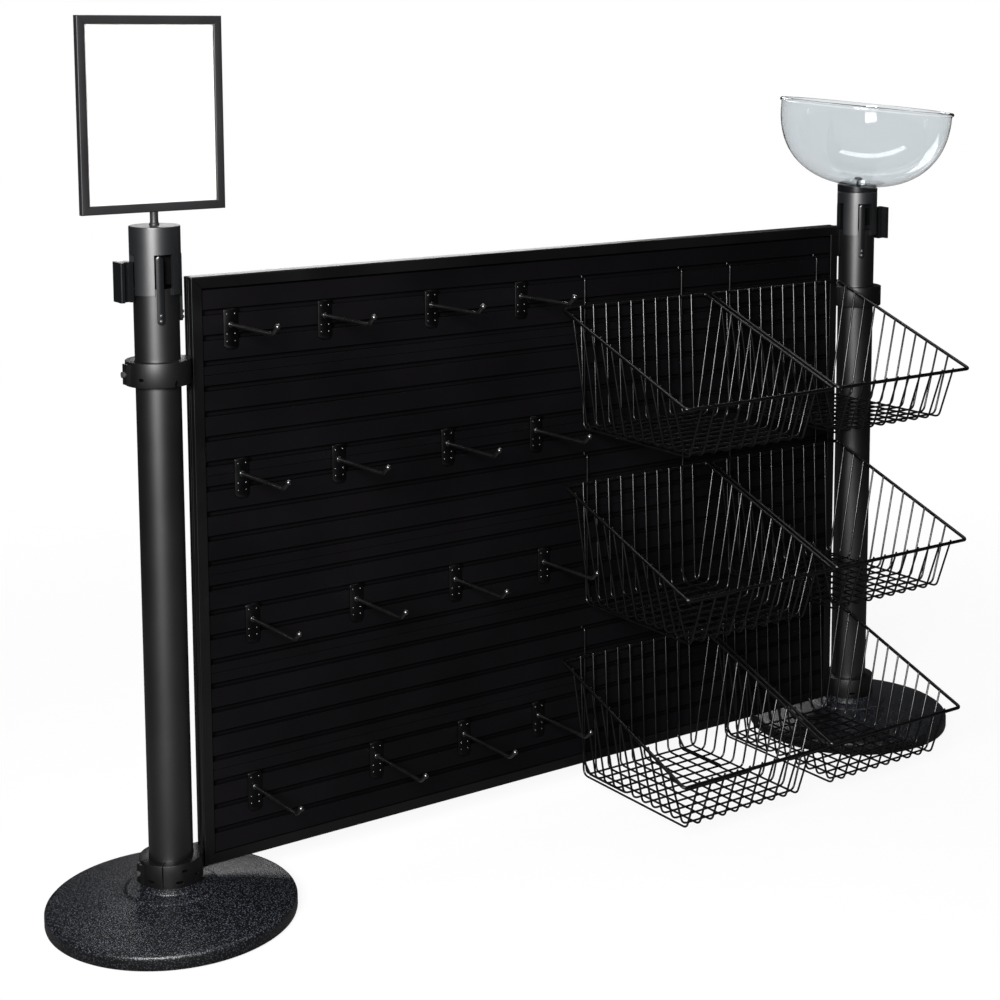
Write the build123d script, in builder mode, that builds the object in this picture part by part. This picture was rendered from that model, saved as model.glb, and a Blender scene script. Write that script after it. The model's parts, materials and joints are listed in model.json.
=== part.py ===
"""Free-standing slatwall panel between two belt-barrier posts, with hooks, wire baskets, sign and bowl.

Units are millimetres. +Z is up, +X runs along the panel and the shopping side faces -Y.
The origin is on the floor, at the middle of the object's bounding box.
"""

import os
from math import cos, radians, sin

from build123d import *

# ---------------------------------------------------------------- driving dimensions
POST_SPACING = 1412.0
POST_Y = 76.0  # the baskets stand out in front, so the posts sit behind the middle
TUBE_RADIUS = 33.0
TUBE_WALL = 2.5

BASE_RADIUS = 188.0
BASE_RIM_HEIGHT = 26.0
BASE_EDGE_ROUNDING = 9.0
BASE_BOTTOM_CHAMFER = 3.0
BASE_DOME_MIDDLE = (126.0, 38.0)  # radius and height of a point half way up the dome
BASE_DISC_RADIUS = 70.0
BASE_DISC_TOP = 50.0
FOOT_RADIUS = 178.0
FOOT_WIDTH = 22.0
FOOT_HEIGHT = 4.0

HEAD_RADIUS = 37.0
HEAD_ROUNDING = 1.5
HEAD_BOTTOM = 951.0
HEAD_TOP_LEFT = 1050.0
HEAD_TOP_RIGHT = 1031.0
HEAD_TURN_LEFT = 0.0
HEAD_TURN_RIGHT = -15.0
TUBE_TOP = 960.0

WINDOW_WIDTH = 28.0
WINDOW_TOP = 1010.0
WINDOW_OFFSET = -2.5
BELT_WINDOW_WIDTH = 16.0
CAP_THICKNESS = 8.0
SPIGOT_DEPTH = 7.0
INSERT_WIDTH = 13.5
INSERT_BOTTOM = 909.0
INSERT_OFFSET = -9.5
INSERT_REACH = HEAD_RADIUS + 0.8
SCREW_HEIGHTS = (915.0, 923.0)
SCREW_RADIUS = 2.6
SCREW_THICKNESS = 1.4
CLIP_HEIGHT = 58.0
CLIP_BOTTOM = 942.0
CLIP_WIDTH = 30.0
CLIP_BAR = 6.0
CLIP_NECK_WIDTH = 14.0
CLIP_INNER_WIDTH = 24.0
CLIP_ROUNDING = 2.5
CLIP_INNER = HEAD_RADIUS + 1.0
CLIP_OUTER = 60.0
BELT_HEIGHT = 32.0
BELT_BOTTOM = 967.0
BELT_THICKNESS = 1.4
BELT_INNER = 6.0
REEL_RADIUS = 15.0
REEL_CENTRE = 12.0
REEL_BASE = 964.0
REEL_HEIGHT = 48.0

CLAMP_RADIUS = 47.5
CLAMP_HEIGHT = 36.0
UPPER_CLAMP_BOTTOM = 818.0
LOWER_CLAMP_BOTTOM = 62.0
CLAMP_SLIT = 1.6
CLAMP_SLIT_ANGLES = (70, 250)
CLAMP_LUG_LENGTH = 12.0
CLAMP_LUG_WIDTH = 14.0
CLAMP_LUG_REACH = 5.0  # how far the lug stands out of the ring
CLAMP_ARM_LENGTH = 15.4
CLAMP_ARM_WIDTH = 20.0
CLAMP_ARM_GAP = 0.3  # between the arm and the frame
CLAMP_TONGUE = 3.5  # how far the tongue reaches into the frame's groove
CLAMP_SCREW_RADIUS = 4.5
CLAMP_SCREW_HEIGHT = 4.0

PANEL_WIDTH = 1306.0
PANEL_HEIGHT = 906.0
PANEL_BOTTOM = 64.0
FRAME_FRONT = POST_Y - 5.0
FRAME_DEPTH = 26.0
FRAME_FACE = 17.5
FRAME_WEB = 5.0
FRAME_GROOVE_DEPTH = 4.0
FRAME_GROOVE_WIDTH = 8.0
FRAME_ROUNDING = 2.5

SLAT_FRONT = POST_Y - 2.0
SLAT_THICKNESS = 16.0
SLAT_PITCH = 152.4  # a plank is 6 in tall
SLAT_COUNT = 6
SLAT_TOP_JOINT = 973.7  # where the uppermost plank would end if the frame didn't trim it
GROOVE_PITCH = 38.1  # 1.5 in
GROOVES_PER_PLANK = 4
FIRST_GROOVE = 15.6
GROOVE_MOUTH = 9.0
GROOVE_LIP = 4.0
GROOVE_DEPTH = 11.0
GROOVE_RISE = 7.0
GROOVE_WEB = 2.5
JOINT_GAP = 0.6

HOOK_PLATE_WIDTH = 24.0
HOOK_PLATE_DROP = 62.0
HOOK_PLATE_THICKNESS = 3.0
HOOK_ARM_RADIUS = 3.0
HOOK_ARM_DROP = 25.0
HOOK_REACH = 137.0
HOOK_TIP_LENGTH = 19.0
HOOK_TIP_ANGLE = 42.0
HOOK_BALL_RADIUS = 4.6
HOOK_GROOVES = (2, 8, 14, 21)
# Each row was hung by hand, so the hooks aren't quite in line: distances from the left post.
HOOK_PLACES = (
    (116, 275, 468, 642),
    (129, 296, 497, 672),
    (142, 324, 510, 688),
    (140, 357, 525, 676),
)
HOOK_TAB_RISE = 5.0
HOOK_TAB_INSET = 3.0
HOOK_CORNER = 4.0
HOOK_BEND_RADIUS = 12.0
HOOK_ARM_RISE = 2.0

BASKET_RIM_WIDTH = 311.0
BASKET_RIM_DEPTH = 327.0
BASKET_RIM_GAP = 8.0  # from the slat face to the middle of the back rim wire
BASKET_FLOOR_WIDTH = 242.0
BASKET_FLOOR_BACK = 22.0
BASKET_FLOOR_FRONT = 300.0
BASKET_FLOOR_DROP = 206.0
BASKET_RIM_DROP = 120.0
BASKET_HANG = 52.0  # from the groove down to the back rim
BASKET_RIM_WIRE = 3.0
BASKET_WIRE = 1.8
BASKET_WIRES_ACROSS = 10
BASKET_WIRES_DEEP = 11
BASKET_WALL_GAP = 0.3  # between one wall's wires and the next wall's
BASKET_BRACKET_SPACING = 211.0
BASKET_GROOVES = (2, 10, 18)
BASKET_COLUMNS = {"left": 877.5, "right": 1200.0}  # middle of the basket, from the left post
BASKET_SHIFTS = {  # each basket was hung by hand
    (0, "left"): 0.0,
    (0, "right"): 0.0,
    (1, "left"): 6.0,
    (1, "right"): 5.0,
    (2, "left"): 1.0,
    (2, "right"): 1.0,
}
BRACKET_WIDTH = 5.0
BRACKET_THICKNESS = 3.0
BRACKET_GAP = 0.6  # in front of the slats
BRACKET_TAB_GAP = 0.8  # behind the groove's lip
BRACKET_NECK_DROP = 2.2
BRACKET_TAB_RISE = 3.5

SIGN_WIDTH = 222.0
SIGN_HEIGHT = 281.0
SIGN_BORDER = 12.5
SIGN_DEPTH = 12.0
SIGN_BOTTOM = 1069.5
SIGN_SLOT = 4.4
CARD_THICKNESS = 2.0
COVER_THICKNESS = 1.5
SHEET_PLAY = 1.0
STEM_RADIUS = 6.0
STEM_COLLAR = 3.0  # the collar's height, and how far it stands out of the stem

BOWL_RADIUS = 158.0
BOWL_DEPTH = 152.0
BOWL_WALL = 3.0
BOWL_LIP = 3.5
BOWL_FLAT_RADIUS = 24.0
BOWL_TILT = 5.5
BOWL_TILT_HEADING = -35.0
BOWL_SHOULDER = (0.72, 0.245)  # radius and height of the wall's fullest bend, as shares of the whole
BOWL_RIM_STRAIGHT = 12.0
BOWL_HOLE_RADIUS = 3.2
WEDGE_HEIGHT = 10.0
WEDGE_SPIGOT_RADIUS = 8.0
WASHER_RADIUS = 16.0
WASHER_TOP_RADIUS = 7.5
WASHER_HEIGHT = 9.0
SCREW_SHANK_RADIUS = 3.0
SCREW_HEAD_RADIUS = 7.0
SCREW_HEAD_HEIGHT = 5.0
SCREW_END = -7.5

RUNNING_CLEARANCE = 0.05
CLEARANCE = 0.4
CAP_GAP = 0.2  # under what turns on a head's cap

# ---------------------------------------------------------------- derived places
LEFT_X = -POST_SPACING / 2
RIGHT_X = POST_SPACING / 2
PANEL_LEFT = -PANEL_WIDTH / 2
PANEL_RIGHT = PANEL_WIDTH / 2
PANEL_TOP = PANEL_BOTTOM + PANEL_HEIGHT
LEFT_BELT_ANGLE = 180.0 + HEAD_TURN_LEFT
RIGHT_BELT_ANGLE = HEAD_TURN_RIGHT

os.makedirs("parts", exist_ok=True)


def save(builder, name):
    """Label a finished sub-part and write its STEP file."""
    builder.part.label = name
    export_step(builder.part, f"parts/{name}.step")


def groove_z(number):
    """Height of the top edge of a groove's mouth; groove 1 is the highest."""
    plank, place = divmod(number - 1, GROOVES_PER_PLANK)
    return SLAT_TOP_JOINT - plank * SLAT_PITCH - FIRST_GROOVE - place * GROOVE_PITCH


def rod(start, end, radius):
    """Add a straight round bar between two points to the open part."""
    along = Vector(*end) - Vector(*start)
    with BuildSketch(Plane(origin=start, z_dir=along)) as section:
        Circle(radius)
    extrude(section.sketch, amount=along.length)


# ---------------------------------------------------------------- posts
def build_base(side, x):
    """Domed, weighted base with a raised disc and a collar round the tube."""
    dome_edge = BASE_RADIUS - BASE_EDGE_ROUNDING
    dome_height = BASE_RIM_HEIGHT + 1
    collar_radius = CLAMP_RADIUS - 2
    disc_foot = (BASE_DISC_RADIUS + 3, BASE_DISC_TOP - 5)
    with BuildPart() as base:
        with BuildSketch(Plane.XZ) as section:
            with BuildLine():
                Polyline(
                    (0, FOOT_HEIGHT),
                    (BASE_RADIUS - BASE_BOTTOM_CHAMFER, FOOT_HEIGHT),
                    (BASE_RADIUS, FOOT_HEIGHT + BASE_BOTTOM_CHAMFER),
                    (BASE_RADIUS, dome_height - BASE_EDGE_ROUNDING),
                )
                RadiusArc(
                    (BASE_RADIUS, dome_height - BASE_EDGE_ROUNDING),
                    (dome_edge, dome_height),
                    -BASE_EDGE_ROUNDING,
                )
                ThreePointArc((dome_edge, dome_height), BASE_DOME_MIDDLE, disc_foot)
                Polyline(
                    disc_foot,
                    (BASE_DISC_RADIUS, BASE_DISC_TOP),
                    (collar_radius, BASE_DISC_TOP),
                    (collar_radius, LOWER_CLAMP_BOTTOM),
                    (TUBE_RADIUS, LOWER_CLAMP_BOTTOM),
                    (TUBE_RADIUS, BASE_RIM_HEIGHT),
                    (0, BASE_RIM_HEIGHT),
                    (0, FOOT_HEIGHT),
                )
            make_face()
        revolve(axis=Axis.Z)
    base.part = base.part.moved(Location((x, POST_Y, 0)))
    save(base, f"base_{side}")


def build_foot_rings():
    """Rubber rings under both bases."""
    with BuildPart() as rings:
        with BuildSketch(Plane.XY):
            with Locations((LEFT_X, POST_Y), (RIGHT_X, POST_Y)):
                Circle(FOOT_RADIUS)
                Circle(FOOT_RADIUS - FOOT_WIDTH, mode=Mode.SUBTRACT)
        extrude(amount=FOOT_HEIGHT)
        chamfer(rings.edges().group_by(Axis.Z)[0], length=1.0)
    save(rings, "base_foot_rings")


def build_tube(side, x):
    """Round steel post that stands in the base and ends inside the head."""
    with BuildPart() as tube:
        with BuildSketch(Plane.XY.offset(BASE_RIM_HEIGHT)):
            with Locations((x, POST_Y)):
                Circle(TUBE_RADIUS)
                Circle(TUBE_RADIUS - TUBE_WALL, mode=Mode.SUBTRACT)
        extrude(amount=TUBE_TOP - BASE_RIM_HEIGHT)
    save(tube, f"post_tube_{side}")


def receiver_planes(x, belt_angle):
    """Planes facing out of the head's three belt receivers; the belt itself leaves on the fourth side."""
    for quarter in (1, 2, 3):
        turn = radians(belt_angle + quarter * 90)
        out = Vector(cos(turn), sin(turn), 0)
        yield Plane(origin=(x, POST_Y, 0), x_dir=Vector(0, 0, 1).cross(out), z_dir=out)


def build_head(side, x, top, belt_angle, spigot_radius):
    """Sleeve over the tube's top with three receiver windows, a belt window and a bored cap."""
    belt_out = Vector(cos(radians(belt_angle)), sin(radians(belt_angle)), 0)
    belt_plane = Plane(origin=(x, POST_Y, 0), x_dir=Vector(0, 0, 1).cross(belt_out), z_dir=belt_out)
    with BuildPart() as head:
        with BuildSketch(Plane.XY.offset(HEAD_BOTTOM)):
            with Locations((x, POST_Y)):
                Circle(HEAD_RADIUS)
        extrude(amount=top - HEAD_BOTTOM)
        fillet(head.edges().group_by(Axis.Z)[-1], radius=HEAD_ROUNDING)
        with BuildSketch(Plane.XY.offset(HEAD_BOTTOM)):
            with Locations((x, POST_Y)):
                Circle(TUBE_RADIUS)
        extrude(amount=TUBE_TOP - HEAD_BOTTOM, mode=Mode.SUBTRACT)
        with BuildSketch(Plane.XY.offset(TUBE_TOP)):
            with Locations((x, POST_Y)):
                Circle(TUBE_RADIUS - TUBE_WALL)
        extrude(amount=top - CAP_THICKNESS - TUBE_TOP, mode=Mode.SUBTRACT)
        for plane in receiver_planes(x, belt_angle):
            with BuildSketch(plane) as window:
                with Locations((WINDOW_OFFSET, (HEAD_BOTTOM + WINDOW_TOP) / 2)):
                    Rectangle(WINDOW_WIDTH, WINDOW_TOP - HEAD_BOTTOM)
            extrude(window.sketch, amount=2 * HEAD_RADIUS, mode=Mode.SUBTRACT)
        with BuildSketch(belt_plane) as belt_window:
            with Locations((0, (TUBE_TOP + WINDOW_TOP) / 2)):
                Rectangle(BELT_WINDOW_WIDTH, WINDOW_TOP - TUBE_TOP - 1)
        extrude(belt_window.sketch, amount=2 * HEAD_RADIUS, mode=Mode.SUBTRACT)
        with BuildSketch(Plane.XY.offset(top - CAP_THICKNESS - 1)) as bore:
            with Locations((x, POST_Y)):
                Circle(spigot_radius + RUNNING_CLEARANCE)
        extrude(bore.sketch, amount=CAP_THICKNESS + 2, mode=Mode.SUBTRACT)
    save(head, f"post_head_{side}")


def build_receivers(side, x, belt_angle):
    """The locking strips beside each receiver window, which run down over the tube to their screws."""
    radius = INSERT_WIDTH / 2
    with BuildPart() as strips:
        for plane in receiver_planes(x, belt_angle):
            with BuildSketch(plane) as strip:
                with Locations((INSERT_OFFSET, (INSERT_BOTTOM + radius + WINDOW_TOP - 1) / 2)):
                    Rectangle(INSERT_WIDTH, WINDOW_TOP - 1 - INSERT_BOTTOM - radius)
                with Locations((INSERT_OFFSET, INSERT_BOTTOM + radius)):
                    Circle(radius)
            extrude(strip.sketch, amount=2 * HEAD_RADIUS)
        with BuildSketch(Plane.XY.offset(INSERT_BOTTOM - 1)) as outside:
            with Locations((x, POST_Y)):
                Circle(INSERT_REACH)
        extrude(outside.sketch, amount=WINDOW_TOP - INSERT_BOTTOM + 2, mode=Mode.INTERSECT)
        with BuildSketch(Plane.XY.offset(INSERT_BOTTOM - 1)) as inside:
            with Locations((x, POST_Y)):
                Circle(TUBE_RADIUS)
        extrude(inside.sketch, amount=WINDOW_TOP - INSERT_BOTTOM + 2, mode=Mode.SUBTRACT)
    save(strips, f"receiver_strips_{side}")


def build_receiver_screws():
    """Two small round-head screws at the foot of every locking strip."""
    seat = (INSERT_REACH**2 - (INSERT_OFFSET + SCREW_RADIUS) ** 2) ** 0.5
    with BuildPart() as screws:
        for x, belt_angle in ((LEFT_X, LEFT_BELT_ANGLE), (RIGHT_X, RIGHT_BELT_ANGLE)):
            for plane in receiver_planes(x, belt_angle):
                for height in SCREW_HEIGHTS:
                    with BuildSketch(plane.offset(seat + 0.02)) as head_circle:
                        with Locations((INSERT_OFFSET, height)):
                            Circle(SCREW_RADIUS)
                    extrude(head_circle.sketch, amount=SCREW_THICKNESS)
    save(screws, "receiver_screws")


def build_belt(side, x, belt_angle):
    """The belt's end clip and the short run of webbing behind it."""
    out = Vector(cos(radians(belt_angle)), sin(radians(belt_angle)), 0)
    plan = Plane(origin=(x, POST_Y, CLIP_BOTTOM), x_dir=out, z_dir=(0, 0, 1))
    with BuildPart() as clip:
        with BuildSketch(plan):
            with Locations(((CLIP_INNER + CLIP_OUTER) / 2, 0)):
                Rectangle(CLIP_OUTER - CLIP_INNER, CLIP_NECK_WIDTH)
            with Locations((CLIP_OUTER - CLIP_BAR / 2, 0)):
                Rectangle(CLIP_BAR, CLIP_WIDTH)
            with Locations((CLIP_INNER + CLIP_BAR / 2 + 1, 0)):
                Rectangle(CLIP_BAR - 1, CLIP_INNER_WIDTH)
        extrude(amount=CLIP_HEIGHT)
        fillet(clip.edges().filter_by(Axis.Z).sort_by(Axis((x, POST_Y, 0), out))[-2:], radius=CLIP_ROUNDING)
    save(clip, f"belt_clip_{side}")

    with BuildPart() as belt:
        with BuildSketch(plan.offset(BELT_BOTTOM - CLIP_BOTTOM)):
            with Locations(((BELT_INNER + CLIP_INNER) / 2, 0)):
                Rectangle(CLIP_INNER - BELT_INNER, BELT_THICKNESS)
        extrude(amount=BELT_HEIGHT)
    save(belt, f"belt_webbing_{side}")


def build_reels():
    """The spring-wound rolls of belt inside both heads."""
    with BuildPart() as reels:
        for x, belt_angle in ((LEFT_X, LEFT_BELT_ANGLE), (RIGHT_X, RIGHT_BELT_ANGLE)):
            out = Vector(cos(radians(belt_angle)), sin(radians(belt_angle)), 0)
            with BuildSketch(Plane(origin=(x, POST_Y, REEL_BASE), x_dir=out, z_dir=(0, 0, 1))) as roll:
                with Locations((-REEL_CENTRE, 0)):
                    Circle(REEL_RADIUS)
            extrude(roll.sketch, amount=REEL_HEIGHT)
    save(reels, "belt_reels")


def build_clamp(side, level, x, bottom, towards_panel):
    """Split ring round the tube with an arm whose tongue sits in the panel frame's outer groove."""
    reach = abs(x) - PANEL_WIDTH / 2
    lug_middle = CLAMP_LUG_LENGTH / 2 - CLAMP_RADIUS - CLAMP_LUG_REACH
    arm_middle = reach - CLAMP_ARM_GAP - CLAMP_ARM_LENGTH / 2
    ring_plane = Plane(origin=(x, POST_Y, bottom), x_dir=(towards_panel, 0, 0), z_dir=(0, 0, 1))
    groove_y = (FRAME_FRONT + FRAME_DEPTH / 2 - POST_Y) * towards_panel
    with BuildPart() as clamp:
        with BuildSketch(ring_plane):
            Circle(CLAMP_RADIUS)
            with Locations((lug_middle, 0)):
                Rectangle(CLAMP_LUG_LENGTH, CLAMP_LUG_WIDTH)
            with Locations((arm_middle, groove_y)):
                Rectangle(CLAMP_ARM_LENGTH, CLAMP_ARM_WIDTH)
            Circle(TUBE_RADIUS, mode=Mode.SUBTRACT)
        extrude(amount=CLAMP_HEIGHT)
        chamfer(clamp.faces().sort_by(Axis.Z)[-1].edges().filter_by(GeomType.CIRCLE), length=1.0)
        with BuildSketch(ring_plane):
            with Locations((reach + 1, groove_y)):
                Rectangle(2 * (CLAMP_TONGUE - 1), FRAME_GROOVE_WIDTH - 2 * CLAMP_ARM_GAP)
        extrude(amount=CLAMP_HEIGHT)
        for turn in CLAMP_SLIT_ANGLES:
            with BuildSketch(ring_plane) as cut:
                with Locations(Location((0, 0), turn)):
                    with Locations((CLAMP_RADIUS, 0)):
                        Rectangle(2 * (CLAMP_RADIUS - TUBE_RADIUS) + 6, CLAMP_SLIT)
            extrude(cut.sketch, amount=CLAMP_HEIGHT, mode=Mode.SUBTRACT)
    save(clamp, f"{level}_clamp_{side}")


def build_clamp_screws():
    """Button-head screws in the clamps' outer lugs, one group of equal screws."""
    with BuildPart() as screws:
        for x, outward in ((LEFT_X, -1), (RIGHT_X, 1)):
            for bottom in (LOWER_CLAMP_BOTTOM, UPPER_CLAMP_BOTTOM):
                start = x + outward * (CLAMP_RADIUS + CLAMP_LUG_REACH)
                end = start + outward * CLAMP_SCREW_HEIGHT
                middle = bottom + CLAMP_HEIGHT / 2
                rod((start, POST_Y, middle), (end, POST_Y, middle), CLAMP_SCREW_RADIUS)
    save(screws, "clamp_screws")


# ---------------------------------------------------------------- panel
def build_frame():
    """Four mitred rails that grip the slat planks in a deep inner slot."""
    slot_floor = FRAME_FACE - FRAME_WEB
    corners = {
        "frame_left": (PANEL_LEFT, 1),
        "frame_right": (PANEL_RIGHT, -1),
    }
    slot_y = SLAT_FRONT + SLAT_THICKNESS / 2
    groove_y = FRAME_FRONT + FRAME_DEPTH / 2
    front = Plane(origin=(0, FRAME_FRONT, 0), x_dir=(1, 0, 0), z_dir=(0, -1, 0))
    for name, (edge, inward) in corners.items():
        inner = edge + inward * FRAME_FACE
        with BuildPart() as rail:
            with BuildSketch(front) as face:
                with BuildLine():
                    Polyline(
                        (edge, PANEL_BOTTOM),
                        (inner, PANEL_BOTTOM + FRAME_FACE),
                        (inner, PANEL_TOP - FRAME_FACE),
                        (edge, PANEL_TOP),
                        close=True,
                    )
                make_face()
            extrude(face.sketch, amount=-FRAME_DEPTH)
            with BuildSketch(Plane.XY.offset(PANEL_BOTTOM)) as cuts:
                with Locations((inner - inward * slot_floor / 2, slot_y)):
                    Rectangle(slot_floor, SLAT_THICKNESS + CLEARANCE)
                with Locations((edge + inward * FRAME_GROOVE_DEPTH / 2, groove_y)):
                    Rectangle(FRAME_GROOVE_DEPTH, FRAME_GROOVE_WIDTH)
            extrude(cuts.sketch, amount=PANEL_HEIGHT, mode=Mode.SUBTRACT)
        save(rail, name)
    for name, edge, inward in (("frame_top", PANEL_TOP, -1), ("frame_bottom", PANEL_BOTTOM, 1)):
        inner = edge + inward * FRAME_FACE
        with BuildPart() as rail:
            with BuildSketch(front) as face:
                with BuildLine():
                    Polyline(
                        (PANEL_LEFT, edge),
                        (PANEL_LEFT + FRAME_FACE, inner),
                        (PANEL_RIGHT - FRAME_FACE, inner),
                        (PANEL_RIGHT, edge),
                        close=True,
                    )
                make_face()
            extrude(face.sketch, amount=-FRAME_DEPTH)
            with BuildSketch(Plane.YZ.offset(PANEL_LEFT)) as cuts:
                with Locations((slot_y, inner - inward * slot_floor / 2)):
                    Rectangle(SLAT_THICKNESS + CLEARANCE, slot_floor)
            extrude(cuts.sketch, amount=PANEL_WIDTH, mode=Mode.SUBTRACT)
            with BuildSketch(Plane.XY.offset(PANEL_BOTTOM)) as side_grooves:
                with Locations((PANEL_LEFT, groove_y), (PANEL_RIGHT, groove_y)):
                    Rectangle(2 * FRAME_GROOVE_DEPTH, FRAME_GROOVE_WIDTH)
            extrude(side_grooves.sketch, amount=PANEL_HEIGHT, mode=Mode.SUBTRACT)
            outer_edge = rail.edges().filter_by(Axis.X).group_by(Axis.Z)[-1 if inward < 0 else 0]
            fillet(outer_edge, radius=FRAME_ROUNDING)
        save(rail, name)


def build_planks():
    """Interlocking planks, each one extrusion with four hooked grooves."""
    top_limit = PANEL_TOP - FRAME_WEB - CLEARANCE
    bottom_limit = PANEL_BOTTOM + FRAME_WEB + CLEARANCE
    length = PANEL_WIDTH - 2 * (FRAME_WEB + CLEARANCE)
    middle_y = SLAT_FRONT + SLAT_THICKNESS / 2
    for number in range(SLAT_COUNT):
        joint = SLAT_TOP_JOINT - number * SLAT_PITCH
        high = min(joint - JOINT_GAP / 2, top_limit)
        low = max(joint - SLAT_PITCH + JOINT_GAP / 2, bottom_limit)
        with BuildPart() as plank:
            with BuildSketch(Plane.YZ.offset(-length / 2)):
                with Locations((middle_y, (high + low) / 2)):
                    Rectangle(SLAT_THICKNESS, high - low)
                for place in range(GROOVES_PER_PLANK):
                    top = groove_z(number * GROOVES_PER_PLANK + place + 1)
                    with Locations((SLAT_FRONT, top - GROOVE_MOUTH / 2)):
                        Rectangle(2 * GROOVE_DEPTH, GROOVE_MOUTH, mode=Mode.SUBTRACT)
                    rise = min(GROOVE_RISE, high - GROOVE_WEB - top)  # the first groove is near the top
                    with Locations((SLAT_FRONT + (GROOVE_LIP + GROOVE_DEPTH) / 2, top + rise / 2)):
                        Rectangle(GROOVE_DEPTH - GROOVE_LIP, rise, mode=Mode.SUBTRACT)
            extrude(amount=length)
        save(plank, f"slat_plank_{number + 1}")


# ---------------------------------------------------------------- hooks
def build_hook(name, x, top):
    """Back plate with a tab hooked up into the groove, and a rod arm with an upturned ball tip."""
    back = SLAT_FRONT - CLEARANCE
    plate_middle = back - HOOK_PLATE_THICKNESS / 2
    tab_y = SLAT_FRONT + GROOVE_LIP + CLEARANCE + HOOK_PLATE_THICKNESS / 2
    neck_top = top - CLEARANCE
    arm_z = top - HOOK_ARM_DROP
    elbow = Vector(x, SLAT_FRONT - HOOK_REACH, arm_z + HOOK_ARM_RISE)
    rise = radians(HOOK_TIP_ANGLE)
    tip = elbow + Vector(0, -HOOK_TIP_LENGTH * cos(rise), HOOK_TIP_LENGTH * sin(rise))
    with BuildPart() as hook:
        with BuildSketch(Plane(origin=(x, back, top), x_dir=(1, 0, 0), z_dir=(0, -1, 0))) as plate:
            with Locations((0, -HOOK_PLATE_DROP / 2 - CLEARANCE)):
                RectangleRounded(HOOK_PLATE_WIDTH, HOOK_PLATE_DROP, HOOK_CORNER)
        extrude(plate.sketch, amount=HOOK_PLATE_THICKNESS)
        with BuildSketch(Plane.YZ.offset(x - HOOK_PLATE_WIDTH / 2 + HOOK_TAB_INSET)) as profile:
            with Locations(((plate_middle + tab_y) / 2, neck_top - HOOK_PLATE_THICKNESS / 2)):
                Rectangle(tab_y - plate_middle + HOOK_PLATE_THICKNESS, HOOK_PLATE_THICKNESS)
            with Locations((tab_y, neck_top + (HOOK_TAB_RISE - HOOK_PLATE_THICKNESS) / 2)):
                Rectangle(HOOK_PLATE_THICKNESS, HOOK_TAB_RISE + HOOK_PLATE_THICKNESS)
        extrude(profile.sketch, amount=HOOK_PLATE_WIDTH - 2 * HOOK_TAB_INSET)
        with BuildLine() as route:
            FilletPolyline((x, back - 1, arm_z), elbow, tip, radius=HOOK_BEND_RADIUS)
        with BuildSketch(Plane(origin=route.line @ 0, z_dir=route.line % 0)) as section:
            Circle(HOOK_ARM_RADIUS)
        sweep(section.sketch, path=route.line)
        with Locations(tip):
            Sphere(HOOK_BALL_RADIUS)
    save(hook, name)


# ---------------------------------------------------------------- baskets
def basket_corners():
    """Rim and floor corners of a basket: half width, y from the slat face and z from the back rim."""
    half_rim = BASKET_RIM_WIDTH / 2
    half_floor = BASKET_FLOOR_WIDTH / 2
    rim_back = -BASKET_RIM_GAP
    rim_front = -BASKET_RIM_GAP - BASKET_RIM_DEPTH
    return {
        "rim_back": (half_rim, rim_back, 0.0),
        "rim_front": (half_rim, rim_front, -BASKET_RIM_DROP),
        "floor_back": (half_floor, -BASKET_FLOOR_BACK, -BASKET_FLOOR_DROP),
        "floor_front": (half_floor, -BASKET_FLOOR_FRONT, -BASKET_FLOOR_DROP),
    }


def between(first, second, share):
    """Point a given share of the way from one point to another."""
    return first + (second - first) * share


def wire_wall(top_start, top_end, low_start, low_end, wires):
    """Rim bar, lower edge wire and evenly spaced uprights between two edges of a basket."""
    with BuildPart() as wall:
        rod(top_start, top_end, BASKET_RIM_WIRE)
        rod(low_start, low_end, BASKET_WIRE)
        for wire in range(wires):
            share = (wire + 0.5) / wires
            rod(between(top_start, top_end, share), between(low_start, low_end, share), BASKET_WIRE)
    return wall.part


def build_basket_shape():
    """Five wire walls and two hanging brackets, each a solid of its own, all in one basket."""
    corner = basket_corners()
    points = {}
    for name, (half, y, z) in corner.items():
        points[name, -1] = Vector(-half, y, z)
        points[name, 1] = Vector(half, y, z)
    solids = []
    inset = BASKET_RIM_WIRE + BASKET_WALL_GAP
    for side in (-1, 1):
        back_top, front_top = points["rim_back", side], points["rim_front", side]
        back_low, front_low = points["floor_back", side], points["floor_front", side]
        solids.append(wire_wall(back_top, front_top, back_low, front_low, BASKET_WIRES_DEEP))
    for end in ("back", "front"):
        aside = Vector(inset, 0, 0)
        solids.append(
            wire_wall(
                points["rim_" + end, -1] + aside,
                points["rim_" + end, 1] - aside,
                points["floor_" + end, -1] + aside,
                points["floor_" + end, 1] - aside,
                BASKET_WIRES_ACROSS,
            )
        )
    floor_width = BASKET_FLOOR_WIDTH - 2 * inset
    floor_depth = BASKET_FLOOR_FRONT - BASKET_FLOOR_BACK - 2 * inset
    floor_y = -(BASKET_FLOOR_FRONT + BASKET_FLOOR_BACK) / 2
    with BuildPart() as floor:
        with BuildSketch(Plane.XY.offset(-BASKET_FLOOR_DROP - BASKET_WIRE)) as grid:
            with Locations((0, floor_y)):
                with GridLocations(floor_width / BASKET_WIRES_ACROSS, 0, BASKET_WIRES_ACROSS, 1):
                    Rectangle(2 * BASKET_WIRE, floor_depth)
                with GridLocations(0, floor_depth / BASKET_WIRES_DEEP, 1, BASKET_WIRES_DEEP):
                    Rectangle(floor_width, 2 * BASKET_WIRE)
        extrude(grid.sketch, amount=2 * BASKET_WIRE)
    solids.append(floor.part)
    for side in (-1, 1):
        solids.append(bracket(side * BASKET_BRACKET_SPACING / 2))
    return solids


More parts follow.
